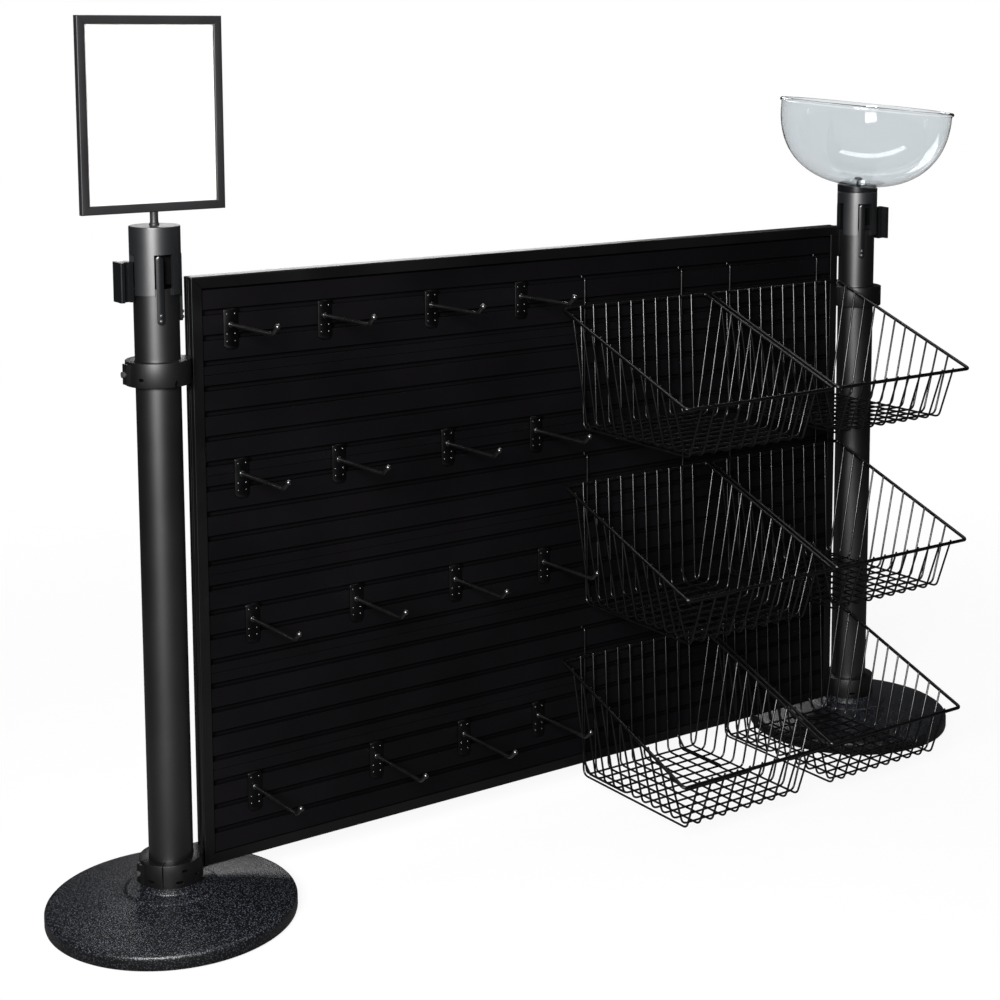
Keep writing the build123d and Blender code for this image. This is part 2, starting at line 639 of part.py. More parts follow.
def bracket(x):
    """Flat strip from the back rim up to a neck and a tab that hooks into the groove."""
    strip_y = -BRACKET_GAP - BRACKET_THICKNESS / 2
    tab_y = GROOVE_LIP + BRACKET_TAB_GAP + BRACKET_THICKNESS / 2
    neck_top = BASKET_HANG - BRACKET_NECK_DROP
    tab_top = neck_top + BRACKET_TAB_RISE
    tab_bottom = neck_top - BRACKET_THICKNESS / 2
    with BuildPart() as strip:
        with BuildSketch(Plane.YZ.offset(x - BRACKET_WIDTH / 2)) as profile:
            with Locations((strip_y, (neck_top + BASKET_RIM_WIRE) / 2)):
                Rectangle(BRACKET_THICKNESS, neck_top - BASKET_RIM_WIRE)
            with Locations(((strip_y + tab_y) / 2, neck_top - BRACKET_THICKNESS / 2)):
                Rectangle(tab_y - strip_y + BRACKET_THICKNESS, BRACKET_THICKNESS)
            with Locations((tab_y, (tab_top + tab_bottom) / 2)):
                Rectangle(BRACKET_THICKNESS, tab_top - tab_bottom)
        extrude(profile.sketch, amount=BRACKET_WIDTH)
    return strip.part


def build_baskets():
    """Six equal baskets in two columns."""
    shape = build_basket_shape()
    for row, groove in enumerate(BASKET_GROOVES):
        for column, distance in BASKET_COLUMNS.items():
            middle = LEFT_X + distance + BASKET_SHIFTS[row, column]
            place = Location((middle, SLAT_FRONT, groove_z(groove) - BASKET_HANG))
            basket = Compound(children=[solid.moved(place) for solid in shape])
            name = f"basket_row{row + 1}_{column}"
            basket.label = name
            export_step(basket, f"parts/{name}.step")


# ---------------------------------------------------------------- sign and bowl
def build_sign():
    """Portrait frame on a stem that turns in the left head's cap."""
    middle_z = SIGN_BOTTOM + SIGN_HEIGHT / 2
    front = Plane(origin=(LEFT_X, POST_Y + SIGN_DEPTH / 2, middle_z), x_dir=(1, 0, 0), z_dir=(0, -1, 0))
    with BuildPart() as stem:
        with BuildSketch(Plane(origin=(LEFT_X, POST_Y, HEAD_TOP_LEFT - SPIGOT_DEPTH))):
            Circle(STEM_RADIUS)
        extrude(amount=SIGN_BOTTOM - HEAD_TOP_LEFT + SPIGOT_DEPTH)
        with BuildSketch(Plane(origin=(LEFT_X, POST_Y, HEAD_TOP_LEFT + CAP_GAP))):
            Circle(STEM_RADIUS + STEM_COLLAR)
        extrude(amount=STEM_COLLAR)
    save(stem, "sign_stem")

    with BuildPart() as frame:
        with BuildSketch(front):
            RectangleRounded(SIGN_WIDTH, SIGN_HEIGHT, 2)
            Rectangle(SIGN_WIDTH - 2 * SIGN_BORDER, SIGN_HEIGHT - 2 * SIGN_BORDER, mode=Mode.SUBTRACT)
        extrude(amount=SIGN_DEPTH)
        with BuildSketch(front.offset((SIGN_DEPTH - SIGN_SLOT) / 2)):
            Rectangle(SIGN_WIDTH - SIGN_BORDER, SIGN_HEIGHT - SIGN_BORDER)
        extrude(amount=SIGN_SLOT, mode=Mode.SUBTRACT)
    save(frame, "sign_frame")

    sheet_width = SIGN_WIDTH - SIGN_BORDER - SHEET_PLAY
    sheet_height = SIGN_HEIGHT - SIGN_BORDER - SHEET_PLAY
    with BuildPart() as insert:
        with BuildSketch(front.offset(SIGN_DEPTH / 2 - CARD_THICKNESS)):
            Rectangle(sheet_width, sheet_height)
        extrude(amount=CARD_THICKNESS)
    save(insert, "sign_insert")

    with BuildPart() as cover:
        with BuildSketch(front.offset(SIGN_DEPTH / 2 + CAP_GAP)):
            Rectangle(sheet_width, sheet_height)
        extrude(amount=COVER_THICKNESS)
    save(cover, "sign_cover_sheet")


def build_bowl():
    """Round clear bowl on a wedge that tips it sideways, held by one screw through its floor."""
    heading = radians(BOWL_TILT_HEADING)
    tilt = radians(BOWL_TILT)
    lean = Vector(cos(heading) * sin(tilt), sin(heading) * sin(tilt), cos(tilt))
    base = Vector(RIGHT_X, POST_Y, HEAD_TOP_RIGHT + WEDGE_HEIGHT)
    across = Vector(-sin(heading), cos(heading), 0)
    seat = Plane(origin=base, x_dir=across, z_dir=lean).location

    with BuildPart() as wedge:
        with BuildSketch(Plane.XY.offset(HEAD_TOP_RIGHT + CAP_GAP)):
            with Locations((RIGHT_X, POST_Y)):
                Circle(HEAD_RADIUS)
        extrude(amount=WEDGE_HEIGHT + 12)
        with BuildSketch(Plane(origin=base, x_dir=across, z_dir=lean)) as above:
            Circle(3 * HEAD_RADIUS)
        extrude(above.sketch, amount=2 * HEAD_RADIUS, mode=Mode.SUBTRACT)
        with BuildSketch(Plane.XY.offset(HEAD_TOP_RIGHT - SPIGOT_DEPTH)) as spigot:
            with Locations((RIGHT_X, POST_Y)):
                Circle(WEDGE_SPIGOT_RADIUS)
        extrude(spigot.sketch, amount=SPIGOT_DEPTH + 1)
        with BuildSketch(Plane(origin=base, x_dir=across, z_dir=-lean)) as thread:
            Circle(SCREW_SHANK_RADIUS)
        extrude(thread.sketch, amount=WEDGE_SPIGOT_RADIUS, mode=Mode.SUBTRACT)
    save(wedge, "bowl_wedge")

    inner_radius = BOWL_RADIUS - BOWL_WALL
    shoulder = (BOWL_RADIUS * BOWL_SHOULDER[0], BOWL_DEPTH * BOWL_SHOULDER[1])
    wall_top = BOWL_DEPTH - BOWL_RIM_STRAIGHT
    lip_bottom = BOWL_DEPTH - 2 * BOWL_LIP
    with BuildPart() as bowl:
        with BuildSketch(Plane.XZ):
            with BuildLine():
                Line((BOWL_HOLE_RADIUS, 0), (BOWL_FLAT_RADIUS, 0))
                Spline(
                    (BOWL_FLAT_RADIUS, 0),
                    shoulder,
                    (BOWL_RADIUS, wall_top),
                    tangents=((1, 0), (0.06, 1)),
                )
                Line((BOWL_RADIUS, wall_top), (BOWL_RADIUS, lip_bottom))
                ThreePointArc(
                    (BOWL_RADIUS, lip_bottom),
                    (BOWL_RADIUS + BOWL_LIP, BOWL_DEPTH - BOWL_LIP),
                    (BOWL_RADIUS, BOWL_DEPTH),
                )
                Polyline((BOWL_RADIUS, BOWL_DEPTH), (inner_radius, BOWL_DEPTH), (inner_radius, wall_top))
                Spline(
                    (inner_radius, wall_top),
                    (shoulder[0] - BOWL_WALL * 0.7, shoulder[1] + BOWL_WALL),
                    (BOWL_FLAT_RADIUS, BOWL_WALL),
                    tangents=((-0.06, -1), (-1, 0)),
                )
                Polyline(
                    (BOWL_FLAT_RADIUS, BOWL_WALL),
                    (BOWL_HOLE_RADIUS, BOWL_WALL),
                    (BOWL_HOLE_RADIUS, 0),
                )
            make_face()
        revolve(axis=Axis.Z)
    bowl.part = bowl.part.moved(seat)
    save(bowl, "bowl")

    washer_top = BOWL_WALL + WASHER_HEIGHT
    with BuildPart() as washer:
        with BuildSketch(Plane.XZ):
            with BuildLine():
                Line((BOWL_HOLE_RADIUS, BOWL_WALL), (WASHER_RADIUS, BOWL_WALL))
                ThreePointArc(
                    (WASHER_RADIUS, BOWL_WALL),
                    (WASHER_RADIUS - 3, washer_top - 2.5),
                    (WASHER_TOP_RADIUS, washer_top),
                )
                Polyline(
                    (WASHER_TOP_RADIUS, washer_top),
                    (BOWL_HOLE_RADIUS, washer_top),
                    (BOWL_HOLE_RADIUS, BOWL_WALL),
                )
            make_face()
        revolve(axis=Axis.Z)
    washer.part = washer.part.moved(seat)
    save(washer, "bowl_washer")

    head_side = washer_top + 0.4 * SCREW_HEAD_HEIGHT
    head_top = washer_top + SCREW_HEAD_HEIGHT
    with BuildPart() as screw:
        with BuildSketch(Plane.XZ):
            with BuildLine():
                Polyline(
                    (0, SCREW_END),
                    (SCREW_SHANK_RADIUS, SCREW_END),
                    (SCREW_SHANK_RADIUS, washer_top),
                    (SCREW_HEAD_RADIUS, washer_top),
                    (SCREW_HEAD_RADIUS, head_side),
                )
                ThreePointArc(
                    (SCREW_HEAD_RADIUS, head_side),
                    (0.8 * SCREW_HEAD_RADIUS, head_top - 0.8),
                    (SCREW_SHANK_RADIUS, head_top),
                )
                Polyline((SCREW_SHANK_RADIUS, head_top), (0, head_top), (0, SCREW_END))
            make_face()
        revolve(axis=Axis.Z)
    screw.part = screw.part.moved(seat)
    save(screw, "bowl_screw")


# ---------------------------------------------------------------- the whole object
for post_side, post_x, head_top, belt_direction, spigot in (
    ("left", LEFT_X, HEAD_TOP_LEFT, LEFT_BELT_ANGLE, STEM_RADIUS),
    ("right", RIGHT_X, HEAD_TOP_RIGHT, RIGHT_BELT_ANGLE, WEDGE_SPIGOT_RADIUS),
):
    build_base(post_side, post_x)
    build_tube(post_side, post_x)
    build_head(post_side, post_x, head_top, belt_direction, spigot)
    build_receivers(post_side, post_x, belt_direction)
    build_belt(post_side, post_x, belt_direction)
    panel_direction = 1 if post_side == "left" else -1
    build_clamp(post_side, "lower", post_x, LOWER_CLAMP_BOTTOM, panel_direction)
    build_clamp(post_side, "upper", post_x, UPPER_CLAMP_BOTTOM, panel_direction)
build_foot_rings()
build_receiver_screws()
build_reels()
build_clamp_screws()
build_frame()
build_planks()
for row_number, (groove_number, places) in enumerate(zip(HOOK_GROOVES, HOOK_PLACES)):
    for column_number, distance in enumerate(places):
        build_hook(
            f"hook_row{row_number + 1}_{column_number + 1}",
            LEFT_X + distance,
            groove_z(groove_number),
        )
build_baskets()
build_sign()
build_bowl()
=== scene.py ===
import json
from math import cos, hypot, pi, radians, sin, sqrt, tan

import bmesh
import bpy
from mathutils import Matrix, Vector


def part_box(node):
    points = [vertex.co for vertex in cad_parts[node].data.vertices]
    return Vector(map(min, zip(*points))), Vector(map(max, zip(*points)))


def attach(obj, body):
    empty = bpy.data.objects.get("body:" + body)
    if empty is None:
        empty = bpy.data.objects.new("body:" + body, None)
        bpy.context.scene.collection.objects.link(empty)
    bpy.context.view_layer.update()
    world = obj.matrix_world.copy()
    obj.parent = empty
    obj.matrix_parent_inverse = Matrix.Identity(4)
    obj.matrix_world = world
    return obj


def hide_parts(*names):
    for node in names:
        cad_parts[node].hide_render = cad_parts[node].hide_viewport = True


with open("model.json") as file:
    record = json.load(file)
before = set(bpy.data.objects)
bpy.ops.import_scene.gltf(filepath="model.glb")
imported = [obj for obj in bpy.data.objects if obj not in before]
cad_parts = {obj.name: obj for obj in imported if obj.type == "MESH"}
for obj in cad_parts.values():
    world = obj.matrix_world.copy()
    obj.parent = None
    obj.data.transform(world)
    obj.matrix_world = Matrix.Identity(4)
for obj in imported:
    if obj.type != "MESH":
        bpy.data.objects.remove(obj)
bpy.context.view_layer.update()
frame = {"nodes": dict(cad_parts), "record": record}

MM = 0.001  # sizes below are in millimetres, and are turned into metres where a mesh is made
nodes = frame["nodes"]
slot_of = {part["node"]: part["material_slot"] for part in frame["record"]["subparts"]}
body_of = {node: body for body, group in frame["record"]["behaviour"]["bodies"].items() for node in group}


# ---------------------------------------------------------------- camera
CAMERA_FROM_LEFT_POST = (-1153.7, -2592.0, 1327.3)
CAMERA_TURN = 0.627  # radians towards +X
CAMERA_DIP = 0.128
CAMERA_FOCAL_LENGTH = 69.45  # on a 36 mm sensor
CAMERA_SHIFT = (-0.06, -0.22)


def axis_of(node):
    """Middle of a node's box seen from above, in millimetres."""
    low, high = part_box(node)
    return (low.x + high.x) / 2 / MM, (low.y + high.y) / 2 / MM


left_x, post_y = axis_of("post_tube_left")
right_x, _ = axis_of("post_tube_right")


def make_camera():
    """Camera in front of the panel, to its left and a little above it."""
    data = bpy.data.cameras.new("camera")
    camera = bpy.data.objects.new("camera", data)
    bpy.context.scene.collection.objects.link(camera)
    data.sensor_width = 36
    data.lens = CAMERA_FOCAL_LENGTH
    data.shift_x, data.shift_y = CAMERA_SHIFT
    data.clip_end = 50
    level = cos(CAMERA_DIP)
    forward = Vector((sin(CAMERA_TURN) * level, cos(CAMERA_TURN) * level, -sin(CAMERA_DIP)))
    right = Vector((cos(CAMERA_TURN), -sin(CAMERA_TURN), 0))
    up = right.cross(forward)
    turn = Matrix((right, up, -forward)).transposed().to_4x4()
    x, y, z = CAMERA_FROM_LEFT_POST
    place = Vector((left_x + x, post_y + y, z)) * MM
    camera.matrix_world = Matrix.Translation(place) @ turn
    bpy.context.scene.camera = camera


# ---------------------------------------------------------------- stage and light
def area_light(name, place, target, size, power):
    """Rectangular soft light in metres and watts, aimed at a point."""
    data = bpy.data.lights.new(name, "AREA")
    data.shape = "RECTANGLE"
    data.size, data.size_y = size
    data.energy = power
    lamp = bpy.data.objects.new(name, data)
    bpy.context.scene.collection.objects.link(lamp)
    lamp.location = place
    lamp.rotation_mode = "QUATERNION"
    lamp.rotation_quaternion = (Vector(target) - Vector(place)).to_track_quat("-Z", "Y")


SURROUNDINGS = 0.025  # brightness of the room that the object reflects; behind it the studio is white
FLOOR_DENSITY = 0.1
FLOOR_NEAR = 1.0  # metres from the middle out to which the floor shows fully
FLOOR_FAR = 2.6  # and where it has faded into the white studio


def make_floor():
    """Pale floor that takes a soft shadow and fades out into the white studio."""
    floor = bpy.data.objects.new("floor", bpy.data.meshes.new("floor"))
    half = FLOOR_FAR + 0.2
    floor.data.from_pydata(
        [(-half, -half, 0), (half, -half, 0), (half, half, 0), (-half, half, 0)], [], [(0, 1, 2, 3)]
    )
    bpy.context.scene.collection.objects.link(floor)
    surface, tree, shader = new_material("floor")
    shader.inputs["Base Color"].default_value = (0.93, 0.93, 0.93, 1)
    shader.inputs["Roughness"].default_value = 0.9
    shader.inputs["Specular IOR Level"].default_value = 0.0
    place, distance = tree.nodes.new("ShaderNodeTexCoord"), tree.nodes.new("ShaderNodeVectorMath")
    distance.operation = "LENGTH"
    fade = tree.nodes.new("ShaderNodeMapRange")
    fade.interpolation_type = "SMOOTHSTEP"
    fade.inputs["From Min"].default_value = FLOOR_NEAR
    fade.inputs["From Max"].default_value = FLOOR_FAR
    fade.inputs["To Min"].default_value = FLOOR_DENSITY
    fade.inputs["To Max"].default_value = 0
    tree.links.new(place.outputs["Object"], distance.inputs[0])
    tree.links.new(distance.outputs["Value"], fade.inputs["Value"])
    tree.links.new(fade.outputs["Result"], shader.inputs["Alpha"])
    floor.data.materials.append(surface)


def make_studio():
    """White behind the object and through it, dim in what it reflects, with soft lights near the viewer."""
    world = bpy.data.worlds.new("studio")
    world.use_nodes = True
    tree = world.node_tree
    white, dim = tree.nodes["Background"], tree.nodes.new("ShaderNodeBackground")
    white.inputs["Color"].default_value = (1, 1, 1, 1)
    dim.inputs["Color"].default_value = (1, 1, 1, 1)
    dim.inputs["Strength"].default_value = SURROUNDINGS
    path, either = tree.nodes.new("ShaderNodeLightPath"), tree.nodes.new("ShaderNodeMixShader")
    seen = tree.nodes.new("ShaderNodeMath")
    seen.operation = "MAXIMUM"
    tree.links.new(path.outputs["Is Camera Ray"], seen.inputs[0])
    tree.links.new(path.outputs["Is Transmission Ray"], seen.inputs[1])
    tree.links.new(seen.outputs["Value"], either.inputs["Fac"])
    tree.links.new(dim.outputs["Background"], either.inputs[1])
    tree.links.new(white.outputs["Background"], either.inputs[2])
    tree.links.new(either.outputs["Shader"], tree.nodes["World Output"].inputs["Surface"])
    bpy.context.scene.world = world
    area_light("key", (-2.75, -2.65, 1.9), (-0.7, 0.08, 0.8), (1.3, 0.9), 320)
    area_light("back", (1.5, 3.2, 2.3), (0, 0.1, 0.6), (1.8, 1.2), 34)
    area_light("top", (0.1, 0.2, 3.2), (0, 0.1, 0), (3.2, 0.4), 25)
    bpy.context.scene.view_settings.view_transform = "Standard"


# ---------------------------------------------------------------- materials
def new_material(name):
    surface = bpy.data.materials.new(name)
    surface.use_nodes = True
    tree = surface.node_tree
    return surface, tree, tree.nodes["Principled BSDF"]


def noise(tree, scale, detail=2.0, roughness=0.5):
    """Noise texture in the object's own metres."""
    place = tree.nodes.new("ShaderNodeTexCoord")
    texture = tree.nodes.new("ShaderNodeTexNoise")
    texture.inputs["Scale"].default_value = scale
    texture.inputs["Detail"].default_value = detail
    texture.inputs["Roughness"].default_value = roughness
    tree.links.new(place.outputs["Object"], texture.inputs["Vector"])
    return texture


def spread(tree, texture, low, high):
    """Maps a texture's factor onto a range."""
    stretch = tree.nodes.new("ShaderNodeMapRange")
    stretch.inputs["From Min"].default_value = 0.3
    stretch.inputs["From Max"].default_value = 0.7
    stretch.inputs["To Min"].default_value = low
    stretch.inputs["To Max"].default_value = high
    tree.links.new(texture.outputs["Fac"], stretch.inputs["Value"])
    return stretch.outputs["Result"]


def tint(tree, texture, dark, light):
    """Colour that drifts between two tones."""
    ramp = tree.nodes.new("ShaderNodeValToRGB")
    ramp.color_ramp.elements[0].position = 0.35
    ramp.color_ramp.elements[1].position = 0.65
    ramp.color_ramp.elements[0].color = (*dark, 1)
    ramp.color_ramp.elements[1].color = (*light, 1)
    tree.links.new(texture.outputs["Fac"], ramp.inputs["Fac"])
    return ramp.outputs["Color"]


def bump(tree, shader, texture, height):
    """Relief from a texture, with its height in metres."""
    relief = tree.nodes.new("ShaderNodeBump")
    relief.inputs["Distance"].default_value = height
    relief.inputs["Strength"].default_value = 1.0
    tree.links.new(texture.outputs["Fac"], relief.inputs["Height"])
    tree.links.new(relief.outputs["Normal"], shader.inputs["Normal"])


def coated(name, dark, light, rough, grain, relief, specular, drift=9, index=1.5):
    """Painted or moulded surface: slow colour drift, uneven gloss and a fine grain."""
    surface, tree, shader = new_material(name)
    slow = noise(tree, drift, 4)
    fine = noise(tree, grain, 3, 0.6)
    tree.links.new(tint(tree, slow, dark, light), shader.inputs["Base Color"])
    tree.links.new(spread(tree, slow, *rough), shader.inputs["Roughness"])
    shader.inputs["Specular IOR Level"].default_value = specular
    shader.inputs["IOR"].default_value = index
    bump(tree, shader, fine, relief)
    return surface


def hammered(name):
    """Stippled blue-black coat of the bases: fine light pebbles between dark pits, the pebble tops painted
    lighter and the pits darker as painted highlight and shade, and painted shade low on the rim.
    """
    surface, tree, shader = new_material(name)
    place = tree.nodes.new("ShaderNodeTexCoord")
    pebbles = tree.nodes.new("ShaderNodeTexVoronoi")
    pebbles.feature = "SMOOTH_F1"
    pebbles.inputs["Scale"].default_value = 360
    pebbles.inputs["Smoothness"].default_value = 0.4
    tree.links.new(place.outputs["Object"], pebbles.inputs["Vector"])
    grain = noise(tree, 520, 2)
    depth = tree.nodes.new("ShaderNodeMath")
    depth.operation = "ADD"
    tree.links.new(pebbles.outputs["Distance"], depth.inputs[0])
    tree.links.new(grain.outputs["Fac"], depth.inputs[1])
    # painted highlight and shade: the same depth that sinks the pits in the bump colours the pebble tops
    # lighter and the pits darker
    ramp = tree.nodes.new("ShaderNodeValToRGB")
    ramp.color_ramp.elements[0].position = 0.55
    ramp.color_ramp.elements[1].position = 0.92
    ramp.color_ramp.elements[0].color = (0.092, 0.099, 0.124, 1)
    ramp.color_ramp.elements[1].color = (0.002, 0.0022, 0.003, 1)
    tree.links.new(depth.outputs[0], ramp.inputs["Fac"])
    # painted shade: the colour is scaled down to about a third low on the rim's side, below 27 mm
    height, rim = tree.nodes.new("ShaderNodeSeparateXYZ"), tree.nodes.new("ShaderNodeMapRange")
    tree.links.new(place.outputs["Object"], height.inputs["Vector"])
    tree.links.new(height.outputs["Z"], rim.inputs["Value"])
    rim.inputs["From Min"].default_value = 0.020
    rim.inputs["From Max"].default_value = 0.027
    rim.inputs["To Min"].default_value = 0.35
    rim.inputs["To Max"].default_value = 1.0
    shade = tree.nodes.new("ShaderNodeVectorMath")
    shade.operation = "SCALE"
    tree.links.new(ramp.outputs["Color"], shade.inputs[0])
    tree.links.new(rim.outputs["Result"], shade.inputs["Scale"])
    tree.links.new(shade.outputs["Vector"], shader.inputs["Base Color"])
    shader.inputs["Roughness"].default_value = 0.38
    shader.inputs["Specular IOR Level"].default_value = 0.5
    relief = tree.nodes.new("ShaderNodeBump")
    relief.inputs["Distance"].default_value = 0.0004
    relief.inputs["Strength"].default_value = 1.0
    relief.invert = True
    tree.links.new(depth.outputs[0], relief.inputs["Height"])
    tree.links.new(relief.outputs["Normal"], shader.inputs["Normal"])
    return surface


def clear(name, colour):
    """Clear acrylic with faint waves in its surface."""
    surface, tree, shader = new_material(name)
    shader.inputs["Base Color"].default_value = (*colour, 1)
    shader.inputs["Transmission Weight"].default_value = 1.0
    shader.inputs["Roughness"].default_value = 0.02
    shader.inputs["IOR"].default_value = 1.49
    bump(tree, shader, noise(tree, 14, 2), 0.0004)
    return surface


def woven(name):
    """Fine plain weave of the belt."""
    surface, tree, shader = new_material(name)
    place = tree.nodes.new("ShaderNodeTexCoord")
    weave = tree.nodes.new("ShaderNodeTexWave")
    weave.bands_direction = "Z"
    weave.inputs["Scale"].default_value = 220
    weave.inputs["Distortion"].default_value = 0.6
    tree.links.new(place.outputs["Object"], weave.inputs["Vector"])
    colour = tint(tree, weave, (0.0015, 0.0015, 0.0018), (0.005, 0.005, 0.0056))
    tree.links.new(colour, shader.inputs["Base Color"])
    shader.inputs["Roughness"].default_value = 0.85
    shader.inputs["Specular IOR Level"].default_value = 0.1
    bump(tree, shader, weave, 0.0003)
    return surface


def card(name):
    """Blank white card with a faint unevenness."""
    surface, tree, shader = new_material(name)
    slow = noise(tree, 6, 2)
    colour = tint(tree, slow, (0.96, 0.93, 0.915), (1.0, 0.97, 0.955))
    tree.links.new(colour, shader.inputs["Base Color"])
    shader.inputs["Roughness"].default_value = 0.55
    bump(tree, shader, noise(tree, 900, 3), 0.00003)
    return surface


def shades(dark, light, rough, grain, relief, **rest):
    """One row of the table of coats."""
    return {"dark": dark, "light": light, "rough": rough, "grain": grain, "relief": relief, **rest}


COATS = {
    "post_black": shades(
        (0.0006, 0.0006, 0.0008), (0.0012, 0.0012, 0.0015), (0.38, 0.44), 2600, 0.00005, specular=1.0
    ),
    # painted sheen: the heads' coat is lighter and bluer than the posts' to stand in for their broad bluish
    # highlight
    "head_painted_sheen": shades(
        (0.0042, 0.0048, 0.006), (0.0056, 0.0064, 0.008), (0.40, 0.46), 2600, 0.00005, specular=1.0, index=1.58
    ),
    "clamp_black": shades(
        (0.0008, 0.0008, 0.001), (0.0016, 0.0016, 0.0019), (0.42, 0.5), 2600, 0.00005, specular=0.45
    ),
    "foot_rubber": shades((0.006, 0.006, 0.006), (0.010, 0.010, 0.010), (0.7, 0.85), 900, 0.0001, specular=0.3),
    "head_plastic": shades(
        (0.004, 0.0043, 0.005), (0.006, 0.0065, 0.0075), (0.24, 0.32), 1800, 0.00003, specular=0.5
    ),
    "dark_screws": shades(
        (0.03, 0.03, 0.032), (0.06, 0.06, 0.063), (0.2, 0.32), 1500, 0.00003, drift=60, specular=1.0
    ),
    "frame_black": shades(
        (0.0012, 0.0011, 0.0013), (0.0020, 0.0018, 0.0022), (0.3, 0.38), 2200, 0.00003, specular=0.5
    ),
    "slat_black": shades(
        (0.0018, 0.0015, 0.0019), (0.0028, 0.0023, 0.0029), (0.4, 0.5), 1300, 0.00003, drift=4, specular=0.12
    ),
    "wire_black": shades(
        (0.0008, 0.0008, 0.001), (0.0016, 0.0016, 0.0019), (0.26, 0.34), 1200, 0.00001,
        drift=40, specular=1.0, index=1.7,
    ),
    "sign_grey": shades(
        (0.012, 0.012, 0.013), (0.017, 0.017, 0.018), (0.38, 0.48), 2400, 0.00003, specular=0.4
    ),
    "basket_black": shades(
        (0.0006, 0.0006, 0.0008), (0.0012, 0.0012, 0.0015), (0.26, 0.34), 1200, 0.00001, drift=40, specular=0.5
    ),
    "plate_black": shades(
        (0.0006, 0.0006, 0.0008), (0.0012, 0.0012, 0.0015), (0.3, 0.4), 1200, 0.00003, drift=40, specular=0.15
    ),
}
materials = {name: coated(name, **coat) for name, coat in COATS.items()}
materials["base_iron"] = hammered("base_iron")
materials["belt_fabric"] = woven("belt_fabric")
materials["sign_card"] = card("sign_card")
materials["clear_plastic"] = clear("clear_plastic", (0.80, 0.83, 0.845))
materials["cover_sheet"] = clear("cover_sheet", (0.98, 0.98, 0.98))
MATERIAL_OF = {  # nodes that look a little different from the rest of their slot
    # the heads get the painted sheen coat, lighter and bluer than the posts for their highlight
    "post_head_left": "head_painted_sheen",
    "post_head_right": "head_painted_sheen",
    "sign_cover_sheet": "cover_sheet",
}


# ---------------------------------------------------------------- mesh tools
def finish_mesh(name, mesh, slot, bevel=None, smooth_angle=40, material=None):
    """Puts a mesh into the scene, smooth shaded below an angle, with an optional bevel in millimetres.

    Its material is the slot's own, unless another one is named.
    """
    piece = bpy.data.objects.new(name, mesh)
    bpy.context.scene.collection.objects.link(piece)
    piece.data.materials.append(materials[material or slot])
    mesh.shade_smooth()
    mesh.set_sharp_from_angle(angle=radians(smooth_angle))
    if bevel:
        rounding = piece.modifiers.new("edges", "BEVEL")
        rounding.width = bevel * MM
        rounding.segments = 2
        rounding.limit_method = "ANGLE"
        rounding.angle_limit = radians(35)
        rounding.harden_normals = True
    return piece


def mesh_from(name, vertices, faces):
    """Mesh in metres from points in millimetres."""
    mesh = bpy.data.meshes.new(name)
    mesh.from_pydata([Vector(v) * MM for v in vertices], [], faces)
    mesh.validate()
    return mesh


def facing_out(mesh):
    """The mesh with its faces turned outwards."""
    sheet = bmesh.new()
    sheet.from_mesh(mesh)
    bmesh.ops.recalc_face_normals(sheet, faces=sheet.faces)
    sheet.to_mesh(mesh)
    sheet.free()
    return mesh


def lathe(name, profile, segments=128, closed=False):
    """Turns (radius, height) points about Z. A closed profile makes a ring; an open one ends on the axis."""
    vertices, faces = [], []
    rings = []
    for radius, height in profile:
        if radius < 1e-6:
            rings.append([len(vertices)])
            vertices.append((0, 0, height))
            continue
        rings.append(list(range(len(vertices), len(vertices) + segments)))
        for step in range(segments):
            angle = 2 * pi * step / segments
            vertices.append((radius * cos(angle), radius * sin(angle), height))
    pairs = list(zip(rings, rings[1:]))
    if closed:
        pairs.append((rings[-1], rings[0]))
    for low, high in pairs:
        for step in range(segments):
            after = (step + 1) % segments
            if len(low) == 1 and len(high) == 1:
                continue
            if len(low) == 1:
                faces.append((low[0], high[after], high[step]))
            elif len(high) == 1:
                faces.append((low[step], low[after], high[0]))
            else:
                faces.append((low[step], low[after], high[after], high[step]))
    return facing_out(mesh_from(name, vertices, faces))


def rounded(points, radius, steps=5, closed=False):
    """A path with its corners turned into arcs of up to the given radius."""
    points = [Vector(p) for p in points]
    count = len(points)
    route = []
    for i, corner in enumerate(points):
        if not closed and i in (0, count - 1):
            route.append(corner)
            continue
        before, after = points[i - 1], points[(i + 1) % count]
        back, ahead = (before - corner), (after - corner)
        angle = back.angle(ahead)
        if angle > pi - 0.02:
            route.append(corner)
            continue
        reach = min(radius / tan(angle / 2), 0.45 * back.length, 0.45 * ahead.length)
        start, end = corner + back.normalized() * reach, corner + ahead.normalized() * reach
        for step in range(steps + 1):
            share = step / steps
            route.append(start * (1 - share) ** 2 + corner * 2 * share * (1 - share) + end * share**2)
    return route


WIRE_TIP = ((0.7648, 0.6442), (0.3153, 0.5704))  # (width, reach) of the rings that close a wire's end


